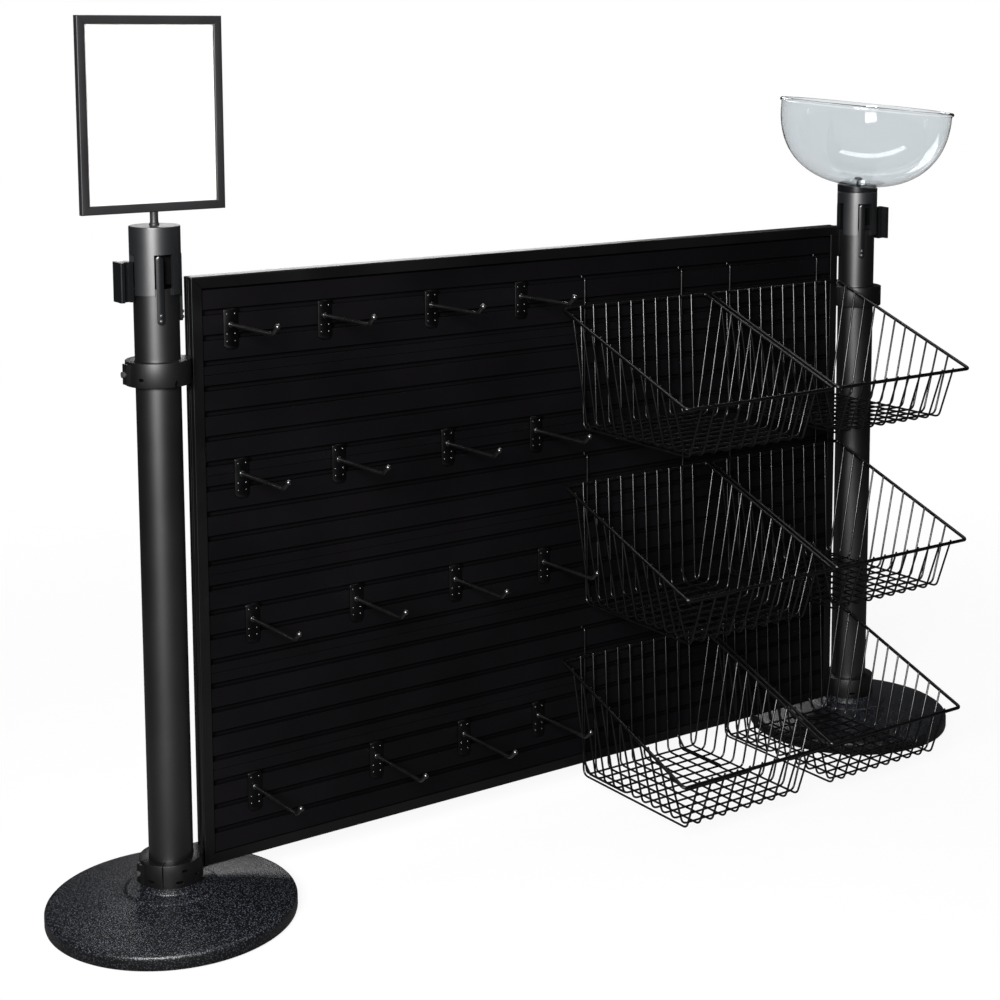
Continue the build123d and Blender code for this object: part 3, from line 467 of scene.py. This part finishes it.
class WireMesh:
    """Collects round wires swept along paths into one mesh."""

    def __init__(self, sides=10):
        self.vertices = []
        self.faces = []
        self.sides = sides

    @staticmethod
    def tip(ring, centre, reach):
        """Narrowing rings beyond a wire's last ring."""
        return [[centre + (p - centre) * width + reach * share for p in ring] for width, share in WIRE_TIP]

    def add(self, route, radius, closed=False):
        """Sweeps a circle of the given radius along a route."""
        route = [Vector(p) for p in route]
        count = len(route)
        tangents = []
        for i in range(count):
            if closed:
                along = route[(i + 1) % count] - route[i - 1]
            else:
                along = route[min(i + 1, count - 1)] - route[max(i - 1, 0)]
            tangents.append(along.normalized())
        aside = tangents[0].orthogonal().normalized()
        rings = []
        for i, along in enumerate(tangents):
            aside = (aside - along * aside.dot(along)).normalized()
            other = along.cross(aside)
            stretch = 1.0
            if closed or 0 < i < count - 1:
                into = (route[i] - route[i - 1]).normalized()
                stretch = 1.0 / max(0.5, into.dot(along))
            ring = []
            for side in range(self.sides):
                angle = 2 * pi * side / self.sides
                ring.append(route[i] + (aside * cos(angle) + other * sin(angle)) * radius * min(stretch, 1.1))
            rings.append(ring)
        if not closed:
            start = self.tip(rings[0], route[0], -tangents[0] * radius)
            end = self.tip(rings[-1], route[-1], tangents[-1] * radius)
            rings = [*reversed(start), *rings, *end]
        first = len(self.vertices)
        for ring in rings:
            self.vertices.extend(ring)
        total = len(rings)
        for i in range(total if closed else total - 1):
            for side in range(self.sides):
                next_side = (side + 1) % self.sides
                low = first + i * self.sides
                high = first + ((i + 1) % total) * self.sides
                self.faces.append((low + side, low + next_side, high + next_side, high + side))
        if not closed:
            self.faces.append(tuple(first + side for side in reversed(range(self.sides))))
            self.faces.append(tuple(first + (total - 1) * self.sides + side for side in range(self.sides)))

    def mesh(self, name):
        return mesh_from(name, self.vertices, self.faces)


# ---------------------------------------------------------------- baskets
RIM_HALF = 155.5
RIM_BACK = -8.0
RIM_FRONT = -335.0
RIM_DROP = 120.0
FLOOR_HALF = 121.0
FLOOR_BACK = -22.0
FLOOR_FRONT = -300.0
FLOOR_DROP = 206.0
RIM_WIRE = 3.0
WIRE = 1.75
HANGER_WIRE = 2.0
WIRE_PITCH = 26.8
WIRE_PITCH_DEEP = 25.8
WIRES_ACROSS = 10
WIRES_DEEP = 11
BEND = 13.0
BRACKET_HALF = 105.5
BASKET_TOP = 53.3  # from the back rim up to the top of the CAD bracket's tab
BASKET_BACK = 7.8  # from the slat face back to the rear of that tab


def rim_height(y):
    """Height of the slanted side rim at a depth."""
    return -RIM_DROP * (RIM_BACK - y) / (RIM_BACK - RIM_FRONT)


def basket_mesh():
    """Rim, U-shaped wires both ways and two hanger wires that run on under the floor."""
    wires = WireMesh()
    rim = [
        (-RIM_HALF, RIM_BACK, 0),
        (RIM_HALF, RIM_BACK, 0),
        (RIM_HALF, RIM_FRONT, -RIM_DROP),
        (-RIM_HALF, RIM_FRONT, -RIM_DROP),
    ]
    wires.add(rounded(rim, 7, 5, closed=True), RIM_WIRE, closed=True)
    inner = RIM_WIRE + WIRE * 0.6
    for number in range(WIRES_ACROSS):
        x = (number - (WIRES_ACROSS - 1) / 2) * WIRE_PITCH
        loop = [
            (x, RIM_BACK - inner, 2.5),
            (x, FLOOR_BACK, -FLOOR_DROP),
            (x, FLOOR_FRONT, -FLOOR_DROP),
            (x, RIM_FRONT + inner, -RIM_DROP + 2.5),
        ]
        wires.add(rounded(loop, BEND, 6), WIRE)
    first_y = (FLOOR_BACK + FLOOR_FRONT) / 2 + (WIRES_DEEP - 1) / 2 * WIRE_PITCH_DEEP
    for number in range(WIRES_DEEP):
        y = first_y - number * WIRE_PITCH_DEEP
        top = rim_height(y) + 1.5
        floor = -FLOOR_DROP + 2 * WIRE
        loop = [
            (-RIM_HALF + inner, y, top),
            (-FLOOR_HALF, y, floor),
            (FLOOR_HALF, y, floor),
            (RIM_HALF - inner, y, top),
        ]
        wires.add(rounded(loop, BEND, 6), WIRE)
    for side in (-1, 1):
        x = side * BRACKET_HALF
        behind_rim = RIM_BACK + 4.6
        hanger = [
            (x, BASKET_BACK - 2.2, BASKET_TOP - 2),
            (x, BASKET_BACK - 2.2, BASKET_TOP - 7),
            (x, behind_rim, BASKET_TOP - 7),
            (x, behind_rim, -172),
            (x, RIM_BACK + 6.2, -190),
            (x, FLOOR_BACK + 2, -FLOOR_DROP - 3.4),
            (x, FLOOR_BACK - 96, -FLOOR_DROP - 3.4),
        ]
        wires.add(rounded(hanger, 6, 5), HANGER_WIRE)
    return wires.mesh("basket")


def make_baskets():
    shape = basket_mesh()
    for node in sorted(nodes):
        if not node.startswith("basket_"):
            continue
        low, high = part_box(node)
        origin = Vector(((low.x + high.x) / 2, high.y - BASKET_BACK * MM, high.z - BASKET_TOP * MM))
        mesh = shape.copy()
        mesh.transform(Matrix.Translation(origin))
        piece = finish_mesh(f"wire_{node}", mesh, "wire_black", smooth_angle=70, material="basket_black")
        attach(piece, body_of[node])
        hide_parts(node)


# ---------------------------------------------------------------- hooks
PLATE_WIDTH = 24.0
PLATE_DROP = 62.0
PLATE_THICKNESS = 2.6
PLATE_CORNER = 5.0
PLATE_EDGE = 0.7
ARM_RADIUS = 3.0
ARM_DROP = 25.0
ARM_REACH = 137.0
TIP_LENGTH = 19.0
TIP_ANGLE = radians(42)
BALL_RADIUS = 4.6
BEAD_RADIUS = 1.1
STUD_RADIUS = 1.7
STUD_ASIDE = 6.5
HOOK_TOP = 4.6  # from the groove's upper lip up to the top of the CAD tab
HOOK_BACK = 7.4  # from the slat face back to the rear of that tab


def plate_strip():
    """Side view of the plate as (y, z): up in the groove, out over the lip, down and out at the foot."""
    middle = -0.4 - PLATE_THICKNESS / 2
    rear = 5.9
    route = rounded(
        [
            (0, rear, HOOK_TOP - 0.6),
            (0, rear, -1.9),
            (0, middle, -1.9),
            (0, middle, -PLATE_DROP + 6),
            (0, middle - 1.6, -PLATE_DROP),
        ],
        2.6,
        4,
    )
    return [(p.y, p.z) for p in route]


def hook_plate(vertices, faces):
    """Bent plate with rounded lower corners and softly rounded edges."""
    route = plate_strip()
    half = PLATE_THICKNESS / 2
    rows = []
    for i, (y, z) in enumerate(route):
        before, after = route[max(i - 1, 0)], route[min(i + 1, len(route) - 1)]
        dy, dz = after[0] - before[0], after[1] - before[1]
        length = hypot(dy, dz)
        ny, nz = dz / length, -dy / length
        to_foot = z + PLATE_DROP
        width = PLATE_WIDTH / 2
        if to_foot < PLATE_CORNER and i > len(route) / 2:
            width -= PLATE_CORNER - sqrt(max(PLATE_CORNER**2 - (PLATE_CORNER - to_foot) ** 2, 0))
        if i < 2:
            width -= 3.0
        rows.append((y, z, ny, nz, width))
    first = len(vertices)
    edge = PLATE_EDGE
    for y, z, ny, nz, width in rows:
        outline = [
            (-width, half - edge),
            (-width + edge, half),
            (width - edge, half),
            (width, half - edge),
            (width, edge - half),
            (width - edge, -half),
            (edge - width, -half),
            (-width, edge - half),
        ]
        for x, depth in outline:
            vertices.append((x, y + ny * depth, z + nz * depth))
    ring = len(outline)
    for i in range(len(rows) - 1):
        for side in range(ring):
            after = (side + 1) % ring
            low, high = first + i * ring, first + (i + 1) * ring
            faces.append((low + side, low + after, high + after, high + side))
    faces.append(tuple(first + side for side in reversed(range(ring))))
    last = first + (len(rows) - 1) * ring
    faces.append(tuple(last + side for side in range(ring)))


def ball(vertices, faces, centre, radius, rings=10, segments=16):
    """Adds a sphere to lists of vertices and faces."""
    first = len(vertices)
    vertices.append(tuple(centre + Vector((0, 0, -radius))))
    for ring in range(1, rings):
        tilt = pi * ring / rings
        for step in range(segments):
            angle = 2 * pi * step / segments
            offset = Vector((sin(tilt) * cos(angle), sin(tilt) * sin(angle), -cos(tilt))) * radius
            vertices.append(tuple(centre + offset))
    vertices.append(tuple(centre + Vector((0, 0, radius))))
    top = len(vertices) - 1
    for step in range(segments):
        after = (step + 1) % segments
        faces.append((first, first + 1 + after, first + 1 + step))
        last = first + 1 + (rings - 2) * segments
        faces.append((last + step, last + after, top))
        for ring in range(rings - 2):
            low = first + 1 + ring * segments
            faces.append((low + step, low + after, low + segments + after, low + segments + step))


def hook_mesh():
    """Plate, rod arm with an upturned ball tip, a weld bead round the arm's root and six round studs."""
    wires = WireMesh(sides=14)
    front = -0.4 - PLATE_THICKNESS
    elbow = Vector((0, -ARM_REACH, -ARM_DROP + 2))
    tip = elbow + Vector((0, -cos(TIP_ANGLE), sin(TIP_ANGLE))) * TIP_LENGTH
    wires.add(rounded([(0, front + 1.5, -ARM_DROP), elbow, tip], 12, 8), ARM_RADIUS)
    bead = []
    for step in range(20):
        angle = 2 * pi * step / 20
        bead.append((cos(angle) * (ARM_RADIUS + 0.4), front - 0.3, -ARM_DROP + sin(angle) * (ARM_RADIUS + 0.4)))
    wires.add(bead, BEAD_RADIUS, closed=True)
    vertices, faces = wires.vertices, wires.faces
    before_plate = len(faces)
    hook_plate(vertices, faces)
    after_plate = len(faces)
    ball(vertices, faces, tip, BALL_RADIUS)
    for height in (-9.0, -ARM_DROP - 14, -PLATE_DROP + 12):
        for side in (-1, 1):
            ball(vertices, faces, Vector((side * STUD_ASIDE, front + 0.9, height)), STUD_RADIUS, 6, 10)
    mesh = wires.mesh("hook")
    for face in mesh.polygons[before_plate:after_plate]:
        face.material_index = 1
    return mesh


def make_hooks():
    shape = hook_mesh()
    for node in sorted(nodes):
        if not node.startswith("hook_"):
            continue
        low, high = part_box(node)
        origin = Vector(((low.x + high.x) / 2, high.y - HOOK_BACK * MM, high.z - HOOK_TOP * MM))
        mesh = shape.copy()
        mesh.transform(Matrix.Translation(origin))
        piece = finish_mesh(f"rod_{node}", mesh, "wire_black", smooth_angle=50)
        piece.data.materials.append(materials["plate_black"])
        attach(piece, body_of[node])
        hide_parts(node)


# ---------------------------------------------------------------- bowl
BOWL_RADIUS = 158.0
BOWL_DEPTH = 152.0
BOWL_WALL = 3.0
BOWL_LIP = 3.5
BOWL_HOLE = 3.2
BOWL_TILT = radians(5.5)
BOWL_HEADING = radians(-35)
BOWL_SEAT = 10.0  # above the head's rim, at the post's axis
BOWL_FULLNESS = 2.35  # 2 would be a half ellipsoid


def bowl_curve(radius, depth, rise):
    """Half section of the bowl's shell from the middle outwards, as a superellipse."""
    points = []
    steps = 40
    for step in range(steps + 1):
        turn = pi / 2 * step / steps
        across = radius * sin(turn) ** (2 / BOWL_FULLNESS)
        height = depth * (1 - cos(turn) ** (2 / BOWL_FULLNESS))
        points.append((across, height + rise))
    return points


def bowl_place():
    """Where the bowl stands: leaning, above the right head."""
    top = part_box("post_head_right")[1].z
    lean = Vector((cos(BOWL_HEADING) * sin(BOWL_TILT), sin(BOWL_HEADING) * sin(BOWL_TILT), cos(BOWL_TILT)))
    turn = Vector((0, 0, 1)).rotation_difference(lean).to_matrix().to_4x4()
    return Matrix.Translation(Vector((right_x * MM, post_y * MM, top + BOWL_SEAT * MM))) @ turn


def make_bowl():
    """Clear bowl with a rolled lip, the domed washer and the pan-head screw in its floor."""
    place = bowl_place()
    rim = BOWL_DEPTH - BOWL_LIP
    outer = [p for p in bowl_curve(BOWL_RADIUS, rim - 4, 0) if p[0] > BOWL_HOLE + 2]
    inner = bowl_curve(BOWL_RADIUS - BOWL_WALL, rim - BOWL_WALL - 2, BOWL_WALL)
    inner = [p for p in inner if p[0] > BOWL_HOLE + 2]
    lip = []
    for step in range(13):
        turn = -pi / 2 + 1.35 * pi * step / 12
        lip.append((BOWL_RADIUS + BOWL_LIP * cos(turn) * 0.9, rim + BOWL_LIP * sin(turn)))
    section = [(BOWL_HOLE, 0), *outer, *lip, *reversed(inner), (BOWL_HOLE, BOWL_WALL)]
    mesh = lathe("bowl_shell", section, 192, closed=True)
    mesh.transform(place)
    bowl = finish_mesh("bowl_shell", mesh, "clear_plastic", smooth_angle=60)
    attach(bowl, body_of["bowl"])
    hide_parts("bowl")

    dome = [(BOWL_HOLE, BOWL_WALL + 0.1), (15.5, BOWL_WALL + 0.1), (16, BOWL_WALL + 0.8)]
    for step in range(1, 9):
        turn = pi / 2 * step / 8
        dome.append((8 + 8 * cos(turn), BOWL_WALL + 0.8 + 8 * sin(turn)))
    dome += [(7.2, BOWL_WALL + 8.4), (BOWL_HOLE, BOWL_WALL + 8.4)]
    mesh = lathe("washer_dome", dome, 64, closed=True)
    mesh.transform(place)
    washer = finish_mesh("washer_dome", mesh, "clear_plastic", smooth_angle=50)
    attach(washer, body_of["bowl_washer"])
    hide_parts("bowl_washer")

    seat = BOWL_WALL + 8.6
    head = [(0, -7), (2.2, -7), (3.0, -6), (3.0, seat), (7.4, seat), (7.8, seat + 0.6), (7.8, seat + 1.8)]
    for step in range(1, 9):
        turn = pi / 2 * step / 8
        head.append((3.4 + 4.4 * cos(turn), seat + 1.8 + 3.2 * sin(turn)))
    head += [(2.0, seat + 4.4), (1.2, seat + 2.4), (0, seat + 2.2)]
    mesh = lathe("pan_screw", head, 48)
    mesh.transform(place)
    screw = finish_mesh("pan_screw", mesh, "dark_screws", smooth_angle=35)
    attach(screw, body_of["bowl_screw"])
    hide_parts("bowl_screw")


# ---------------------------------------------------------------- sign
SIGN_BORDER = 12.5
SIGN_EDGE = 1.6


def mitred_frame(name, low, high, border):
    """Four bars with mitred corners, rounded outside, and a fine joint line at each mitre."""
    depth = (high.y - low.y) / MM
    profile = []  # (distance in from the outside, distance back from the front)
    for step in range(5):
        turn = pi / 2 * step / 4
        profile.append((SIGN_EDGE * (1 - cos(turn)), SIGN_EDGE * (1 - sin(turn))))
    profile += [(border - 1.4, 0.4), (border - 0.4, 0.9), (border, 1.8)]
    profile += [(border, depth / 2 - 2.1), (border - 5, depth / 2 - 2.1), (border - 5, depth / 2 + 2.2)]
    profile += [(border, depth / 2 + 2.2), (border, depth - 0.8), (border - 0.8, depth)]
    profile += [(SIGN_EDGE, depth), (0, depth - SIGN_EDGE)]
    corners = ((1, 1, low.x, low.z), (-1, 1, high.x, low.z), (-1, -1, high.x, high.z), (1, -1, low.x, high.z))
    vertices, faces = [], []
    count = len(profile)
    gap = 0.12
    for bar in range(4):
        first = len(vertices)
        ends = (corners[bar], corners[(bar + 1) % 4])
        along = Vector((ends[1][2] - ends[0][2], 0, ends[1][3] - ends[0][3])).normalized()
        for end, (inward_x, inward_z, x, z) in enumerate(ends):
            trim = along * gap * (1 if end == 0 else -1)
            for inside, back in profile:
                vertices.append(
                    (
                        x / MM + inward_x * inside + trim.x,
                        low.y / MM + back,
                        z / MM + inward_z * inside + trim.z,
                    )
                )
        for side in range(count):
            after = (side + 1) % count
            faces.append((first + side, first + after, first + count + after, first + count + side))
        faces.append(tuple(first + side for side in reversed(range(count))))
        faces.append(tuple(first + count + side for side in range(count)))
    return facing_out(mesh_from(name, vertices, faces))


def make_sign():
    low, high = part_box("sign_frame")
    border = finish_mesh("sign_border", mitred_frame("sign_border", low, high, SIGN_BORDER), "sign_grey")
    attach(border, body_of["sign_frame"])
    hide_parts("sign_frame")
    stem_low, stem_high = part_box("sign_stem")
    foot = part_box("post_head_left")[1].z / MM
    bottom, top = stem_low.z / MM, stem_high.z / MM
    profile = [(0, bottom), (5.9, bottom), (5.9, foot + 0.3), (7.6, foot + 0.3), (7.6, foot + 1.2)]
    profile += [(7.0, foot + 2.6), (6.3, foot + 4.2), (6.0, foot + 6.0), (6.0, top), (0, top)]
    mesh = lathe("sign_post", profile, 48)
    mesh.transform(Matrix.Translation(Vector((left_x, post_y, 0)) * MM))
    stem = finish_mesh("sign_post", mesh, "sign_grey", smooth_angle=35)
    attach(stem, body_of["sign_stem"])
    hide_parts("sign_stem")


# ---------------------------------------------------------------- bases, clamps and receiver strips
BASE_SECTION = [  # (radius, height) of the weighted base from the tube's hole out and under
    (33.2, 61.8), (45.2, 61.8), (45.2, 52.6), (45.8, 51.2), (47.4, 50.6), (66.0, 49.9), (68.4, 49.4),
    (69.6, 48.3), (70.4, 47.4), (73.0, 46.9), (90.0, 44.9), (108.0, 42.3), (126.0, 39.3), (142.0, 36.2),
    (158.0, 33.0), (170.0, 30.5), (179.0, 28.5), (183.4, 27.5), (185.6, 26.6), (187.1, 25.0), (187.9, 22.8),
    (188.0, 20.0), (188.0, 8.0), (187.3, 5.6), (185.4, 4.3), (182.0, 4.1), (33.2, 4.1),
]
RING_INNER = 33.25
RING_OUTER = 47.3
RING_HEIGHT = 36.0
FRAME_REACH = 53.0  # from the post's axis to the panel's edge
ARM_MIDDLE_Y = 8.0
ARM_SPAN = (RING_OUTER - 8, FRAME_REACH - 0.4, 9.8)  # (near end, far end, half thickness)
TONGUE_SPAN = (FRAME_REACH - 1, FRAME_REACH + 3.2, 3.6)


def on_axis(x, z=0.0):
    """Moves a mesh made about the origin onto a post's axis."""
    return Matrix.Translation(Vector((x, post_y, z)) * MM)


def make_bases():
    for side, x in (("left", left_x), ("right", right_x)):
        mesh = lathe(f"base_shell_{side}", BASE_SECTION, 240, closed=True)
        mesh.transform(on_axis(x))
        piece = finish_mesh(f"base_shell_{side}", mesh, "base_iron", smooth_angle=50)
        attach(piece, body_of[f"base_{side}"])
        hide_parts(f"base_{side}")


def block(vertices, faces, low, high):
    """Closed box between two corners."""
    first = len(vertices)
    for z in (low[2], high[2]):
        vertices += [(low[0], low[1], z), (high[0], low[1], z), (high[0], high[1], z), (low[0], high[1], z)]
    for side in range(4):
        after = (side + 1) % 4
        faces.append((first + side, first + after, first + 4 + after, first + 4 + side))
    faces.append((first + 3, first + 2, first + 1, first))
    faces.append((first + 4, first + 5, first + 6, first + 7))


def slot_cutter(angle, height, length, tall):
    """Radial bar with rounded ends that cuts a slot through a ring; angle in degrees about the post."""
    outline = []
    reach = (length - tall) / 2
    for end, start in ((1, -90), (-1, 90)):
        for step in range(9):
            turn = radians(start + 180 * step / 8)
            outline.append((end * max(reach, 0) + cos(turn) * min(tall, length) / 2, sin(turn) * tall / 2))
    vertices, faces = [], []
    turn = radians(angle)
    out, along = Vector((cos(turn), sin(turn), 0)), Vector((-sin(turn), cos(turn), 0))
    count = len(outline)
    for radius in (RING_INNER - 12, RING_OUTER + 12):
        for u, v in outline:
            vertices.append(tuple(out * radius + along * u + Vector((0, 0, height + v))))
    for side in range(count):
        after = (side + 1) % count
        faces.append((side, after, count + after, count + side))
    faces.append(tuple(reversed(range(count))))
    faces.append(tuple(range(count, 2 * count)))
    return mesh_from("cutter", vertices, faces)


def carved(mesh, cutters):
    """The mesh with each cutter taken out of it."""
    body = bpy.data.objects.new("carving", mesh)
    bpy.context.scene.collection.objects.link(body)
    helpers = []
    for cutter in cutters:
        helper = bpy.data.objects.new("cutter", facing_out(cutter))
        bpy.context.scene.collection.objects.link(helper)
        helpers.append(helper)
        cut = body.modifiers.new("cut", "BOOLEAN")
        cut.operation = "DIFFERENCE"
        cut.solver = "EXACT"
        cut.object = helper
    depsgraph = bpy.context.evaluated_depsgraph_get()
    result = bpy.data.meshes.new_from_object(body.evaluated_get(depsgraph))
    for helper in [body, *helpers]:
        bpy.data.objects.remove(helper)
    return result


def joined(name, meshes):
    """One mesh from several."""
    sheet = bmesh.new()
    for mesh in meshes:
        sheet.from_mesh(mesh)
    result = bpy.data.meshes.new(name)
    sheet.to_mesh(result)
    sheet.free()
    return result


def clamp_ring(slots):
    """Split ring round the tube with slots cut through its wall."""
    edge = 0.9
    section = [
        (RING_INNER, 0.3), (RING_INNER + 0.3, 0), (RING_OUTER - edge, 0), (RING_OUTER - 0.25, 0.25),
        (RING_OUTER, edge), (RING_OUTER, RING_HEIGHT - edge), (RING_OUTER - 0.25, RING_HEIGHT - 0.25),
        (RING_OUTER - edge, RING_HEIGHT), (RING_INNER + 0.3, RING_HEIGHT), (RING_INNER, RING_HEIGHT - 0.3),
    ]
    ring = lathe("ring", section, 144, closed=True)
    return carved(ring, [slot_cutter(*slot) for slot in slots])


def make_clamps():
    """Split rings with slots, an outer pair of lugs, and an arm whose tongue enters the frame."""
    tall = RING_HEIGHT + 8
    for side, x, inward in (("left", left_x, 1), ("right", right_x, -1)):
        outer = 180 if inward > 0 else 0
        front = -130 if inward > 0 else -100
        slots_of = {
            "lower": [
                (outer, RING_HEIGHT / 2, 2.4, tall),
                (front, RING_HEIGHT / 2, 1.8, tall),
                (front - 24, 10.0, 11.0, 4.2),
                (front + 30, 9.0, 11.0, 4.2),
                (front + 40, 25.0, 9.0, 3.4),
                (front + 68, 14.0, 9.0, 3.8),
            ],
            "upper": [
                (outer, RING_HEIGHT / 2, 2.4, tall),
                (-80, 3.0, 7.0, 14.0),
                (outer + 35 * inward, 12.0, 8.0, 5.0),
            ],
        }
        for level, slots in slots_of.items():
            node = f"{level}_clamp_{side}"
            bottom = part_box(node)[0].z / MM
            vertices, faces = [], []
            lug_inner, lug_outer = -inward * (RING_OUTER - 2.5), -inward * (RING_OUTER + 5)
            for low_y, high_y in ((-7.0, -1.2), (1.2, 7.0)):
                low_x, high_x = sorted((lug_inner, lug_outer))
                block(vertices, faces, (low_x, low_y, 3), (high_x, high_y, RING_HEIGHT - 3))
            for near, far, half in (ARM_SPAN, TONGUE_SPAN):
                low_x, high_x = sorted((inward * near, inward * far))
                low_y, high_y = ARM_MIDDLE_Y - half, ARM_MIDDLE_Y + half
                block(vertices, faces, (low_x, low_y, 1), (high_x, high_y, RING_HEIGHT - 1))
            mesh = joined(node, [clamp_ring(slots), mesh_from("arms", vertices, faces)])
            mesh.transform(on_axis(x, bottom))
            piece = finish_mesh(f"clasp_{level}_{side}", mesh, "post_black", bevel=0.5, material="clamp_black")
            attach(piece, body_of[node])
            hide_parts(node)


STRIP_HALF = 5.6
STRIP_MIDDLE = -9.7  # to one side of the window's middle
STRIP_FRONT = 37.9
STRIP_BACK = 33.3
STRIP_BOTTOM = 909.0
STRIP_TOP = 1008.5
STRIP_EDGE = 0.8
STRIP_SCREW_HEIGHTS = (914.5, 922.5)
STRIP_SCREW_RADIUS = 2.9
BELT_ANGLES = (("left", left_x, 180.0), ("right", right_x, -15.0))  # where each head's belt comes out


def strip_mesh(vertices, faces, out_angle, x):
    """Locking strip with round ends, bent round the head, from its screws up into the window."""
    out, along = Vector((cos(out_angle), sin(out_angle), 0)), Vector((-sin(out_angle), cos(out_angle), 0))
    turns = [pi / 2 * step / 8 for step in range(9)]
    levels = [(STRIP_BOTTOM + STRIP_HALF * (1 - cos(turn)), STRIP_HALF * sin(turn)) for turn in turns]
    levels += [(STRIP_TOP - STRIP_HALF * (1 - cos(turn)), STRIP_HALF * sin(turn)) for turn in reversed(turns)]
    shoulder = STRIP_FRONT - STRIP_EDGE
    across = [  # (share of the half width, distance from the post's axis)
        (-1.0, STRIP_BACK), (-1.0, shoulder), (-0.5, STRIP_FRONT), (0.0, STRIP_FRONT),
        (0.5, STRIP_FRONT), (1.0, shoulder), (1.0, STRIP_BACK),
    ]
    first = len(vertices)
    for height, half in levels:
        for share, radius in across:
            u = STRIP_MIDDLE + share * max(half, 0.05)
            turn = u / STRIP_FRONT
            normal = out * cos(turn) + along * sin(turn)
            vertices.append((x + normal.x * radius, post_y + normal.y * radius, height))
    count = len(across)
    for row in range(len(levels) - 1):
        for column in range(count):
            after = (column + 1) % count
            low, high = first + row * count, first + (row + 1) * count
            faces.append((low + column, low + after, high + after, high + column))
    faces.append(tuple(first + column for column in reversed(range(count))))
    last = first + (len(levels) - 1) * count
    faces.append(tuple(last + column for column in range(count)))


def make_strips():
    for side, x, belt_angle in BELT_ANGLES:
        vertices, faces = [], []
        for quarter in (1, 2, 3):
            strip_mesh(vertices, faces, radians(belt_angle + 90 * quarter), x)
        mesh = facing_out(mesh_from("strips", vertices, faces))
        piece = finish_mesh(f"locking_strips_{side}", mesh, "head_plastic", smooth_angle=50)
        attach(piece, "root")
        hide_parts(f"receiver_strips_{side}")
    vertices, faces = [], []
    for _, x, belt_angle in BELT_ANGLES:
        for quarter in (1, 2, 3):
            turn = radians(belt_angle + 90 * quarter) + STRIP_MIDDLE / STRIP_FRONT
            reach = STRIP_FRONT - 0.6
            for height in STRIP_SCREW_HEIGHTS:
                spot = Vector((x + cos(turn) * reach, post_y + sin(turn) * reach, height))
                ball(vertices, faces, spot, STRIP_SCREW_RADIUS, 8, 16)
    piece = finish_mesh("round_screws", mesh_from("round_screws", vertices, faces), "dark_screws")
    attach(piece, "root")
    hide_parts("receiver_screws")


# ---------------------------------------------------------------- softer CAD edges
SLAT_EDGE = 0.5
FRAME_EDGE = 1.4


def soften(node, width):
    """Rounds a flat-sided CAD node's edges, so that they catch the light."""
    cad_object = nodes[node]
    join = cad_object.modifiers.new("join", "WELD")
    join.merge_threshold = 0.00001
    rounding = cad_object.modifiers.new("edges", "BEVEL")
    rounding.width = width * MM
    rounding.segments = 2
    rounding.limit_method = "ANGLE"
    rounding.angle_limit = radians(40)
    rounding.harden_normals = True


# ---------------------------------------------------------------- build
make_camera()
make_floor()
make_studio()
for node, cad_object in nodes.items():
    cad_object.data.materials.clear()
    cad_object.data.materials.append(materials[MATERIAL_OF.get(node, slot_of[node])])
    if node.startswith("slat_"):
        soften(node, SLAT_EDGE)
    elif node.startswith("frame_"):
        soften(node, FRAME_EDGE)
make_bases()
make_clamps()
make_strips()
make_baskets()
make_hooks()
make_bowl()
make_sign()
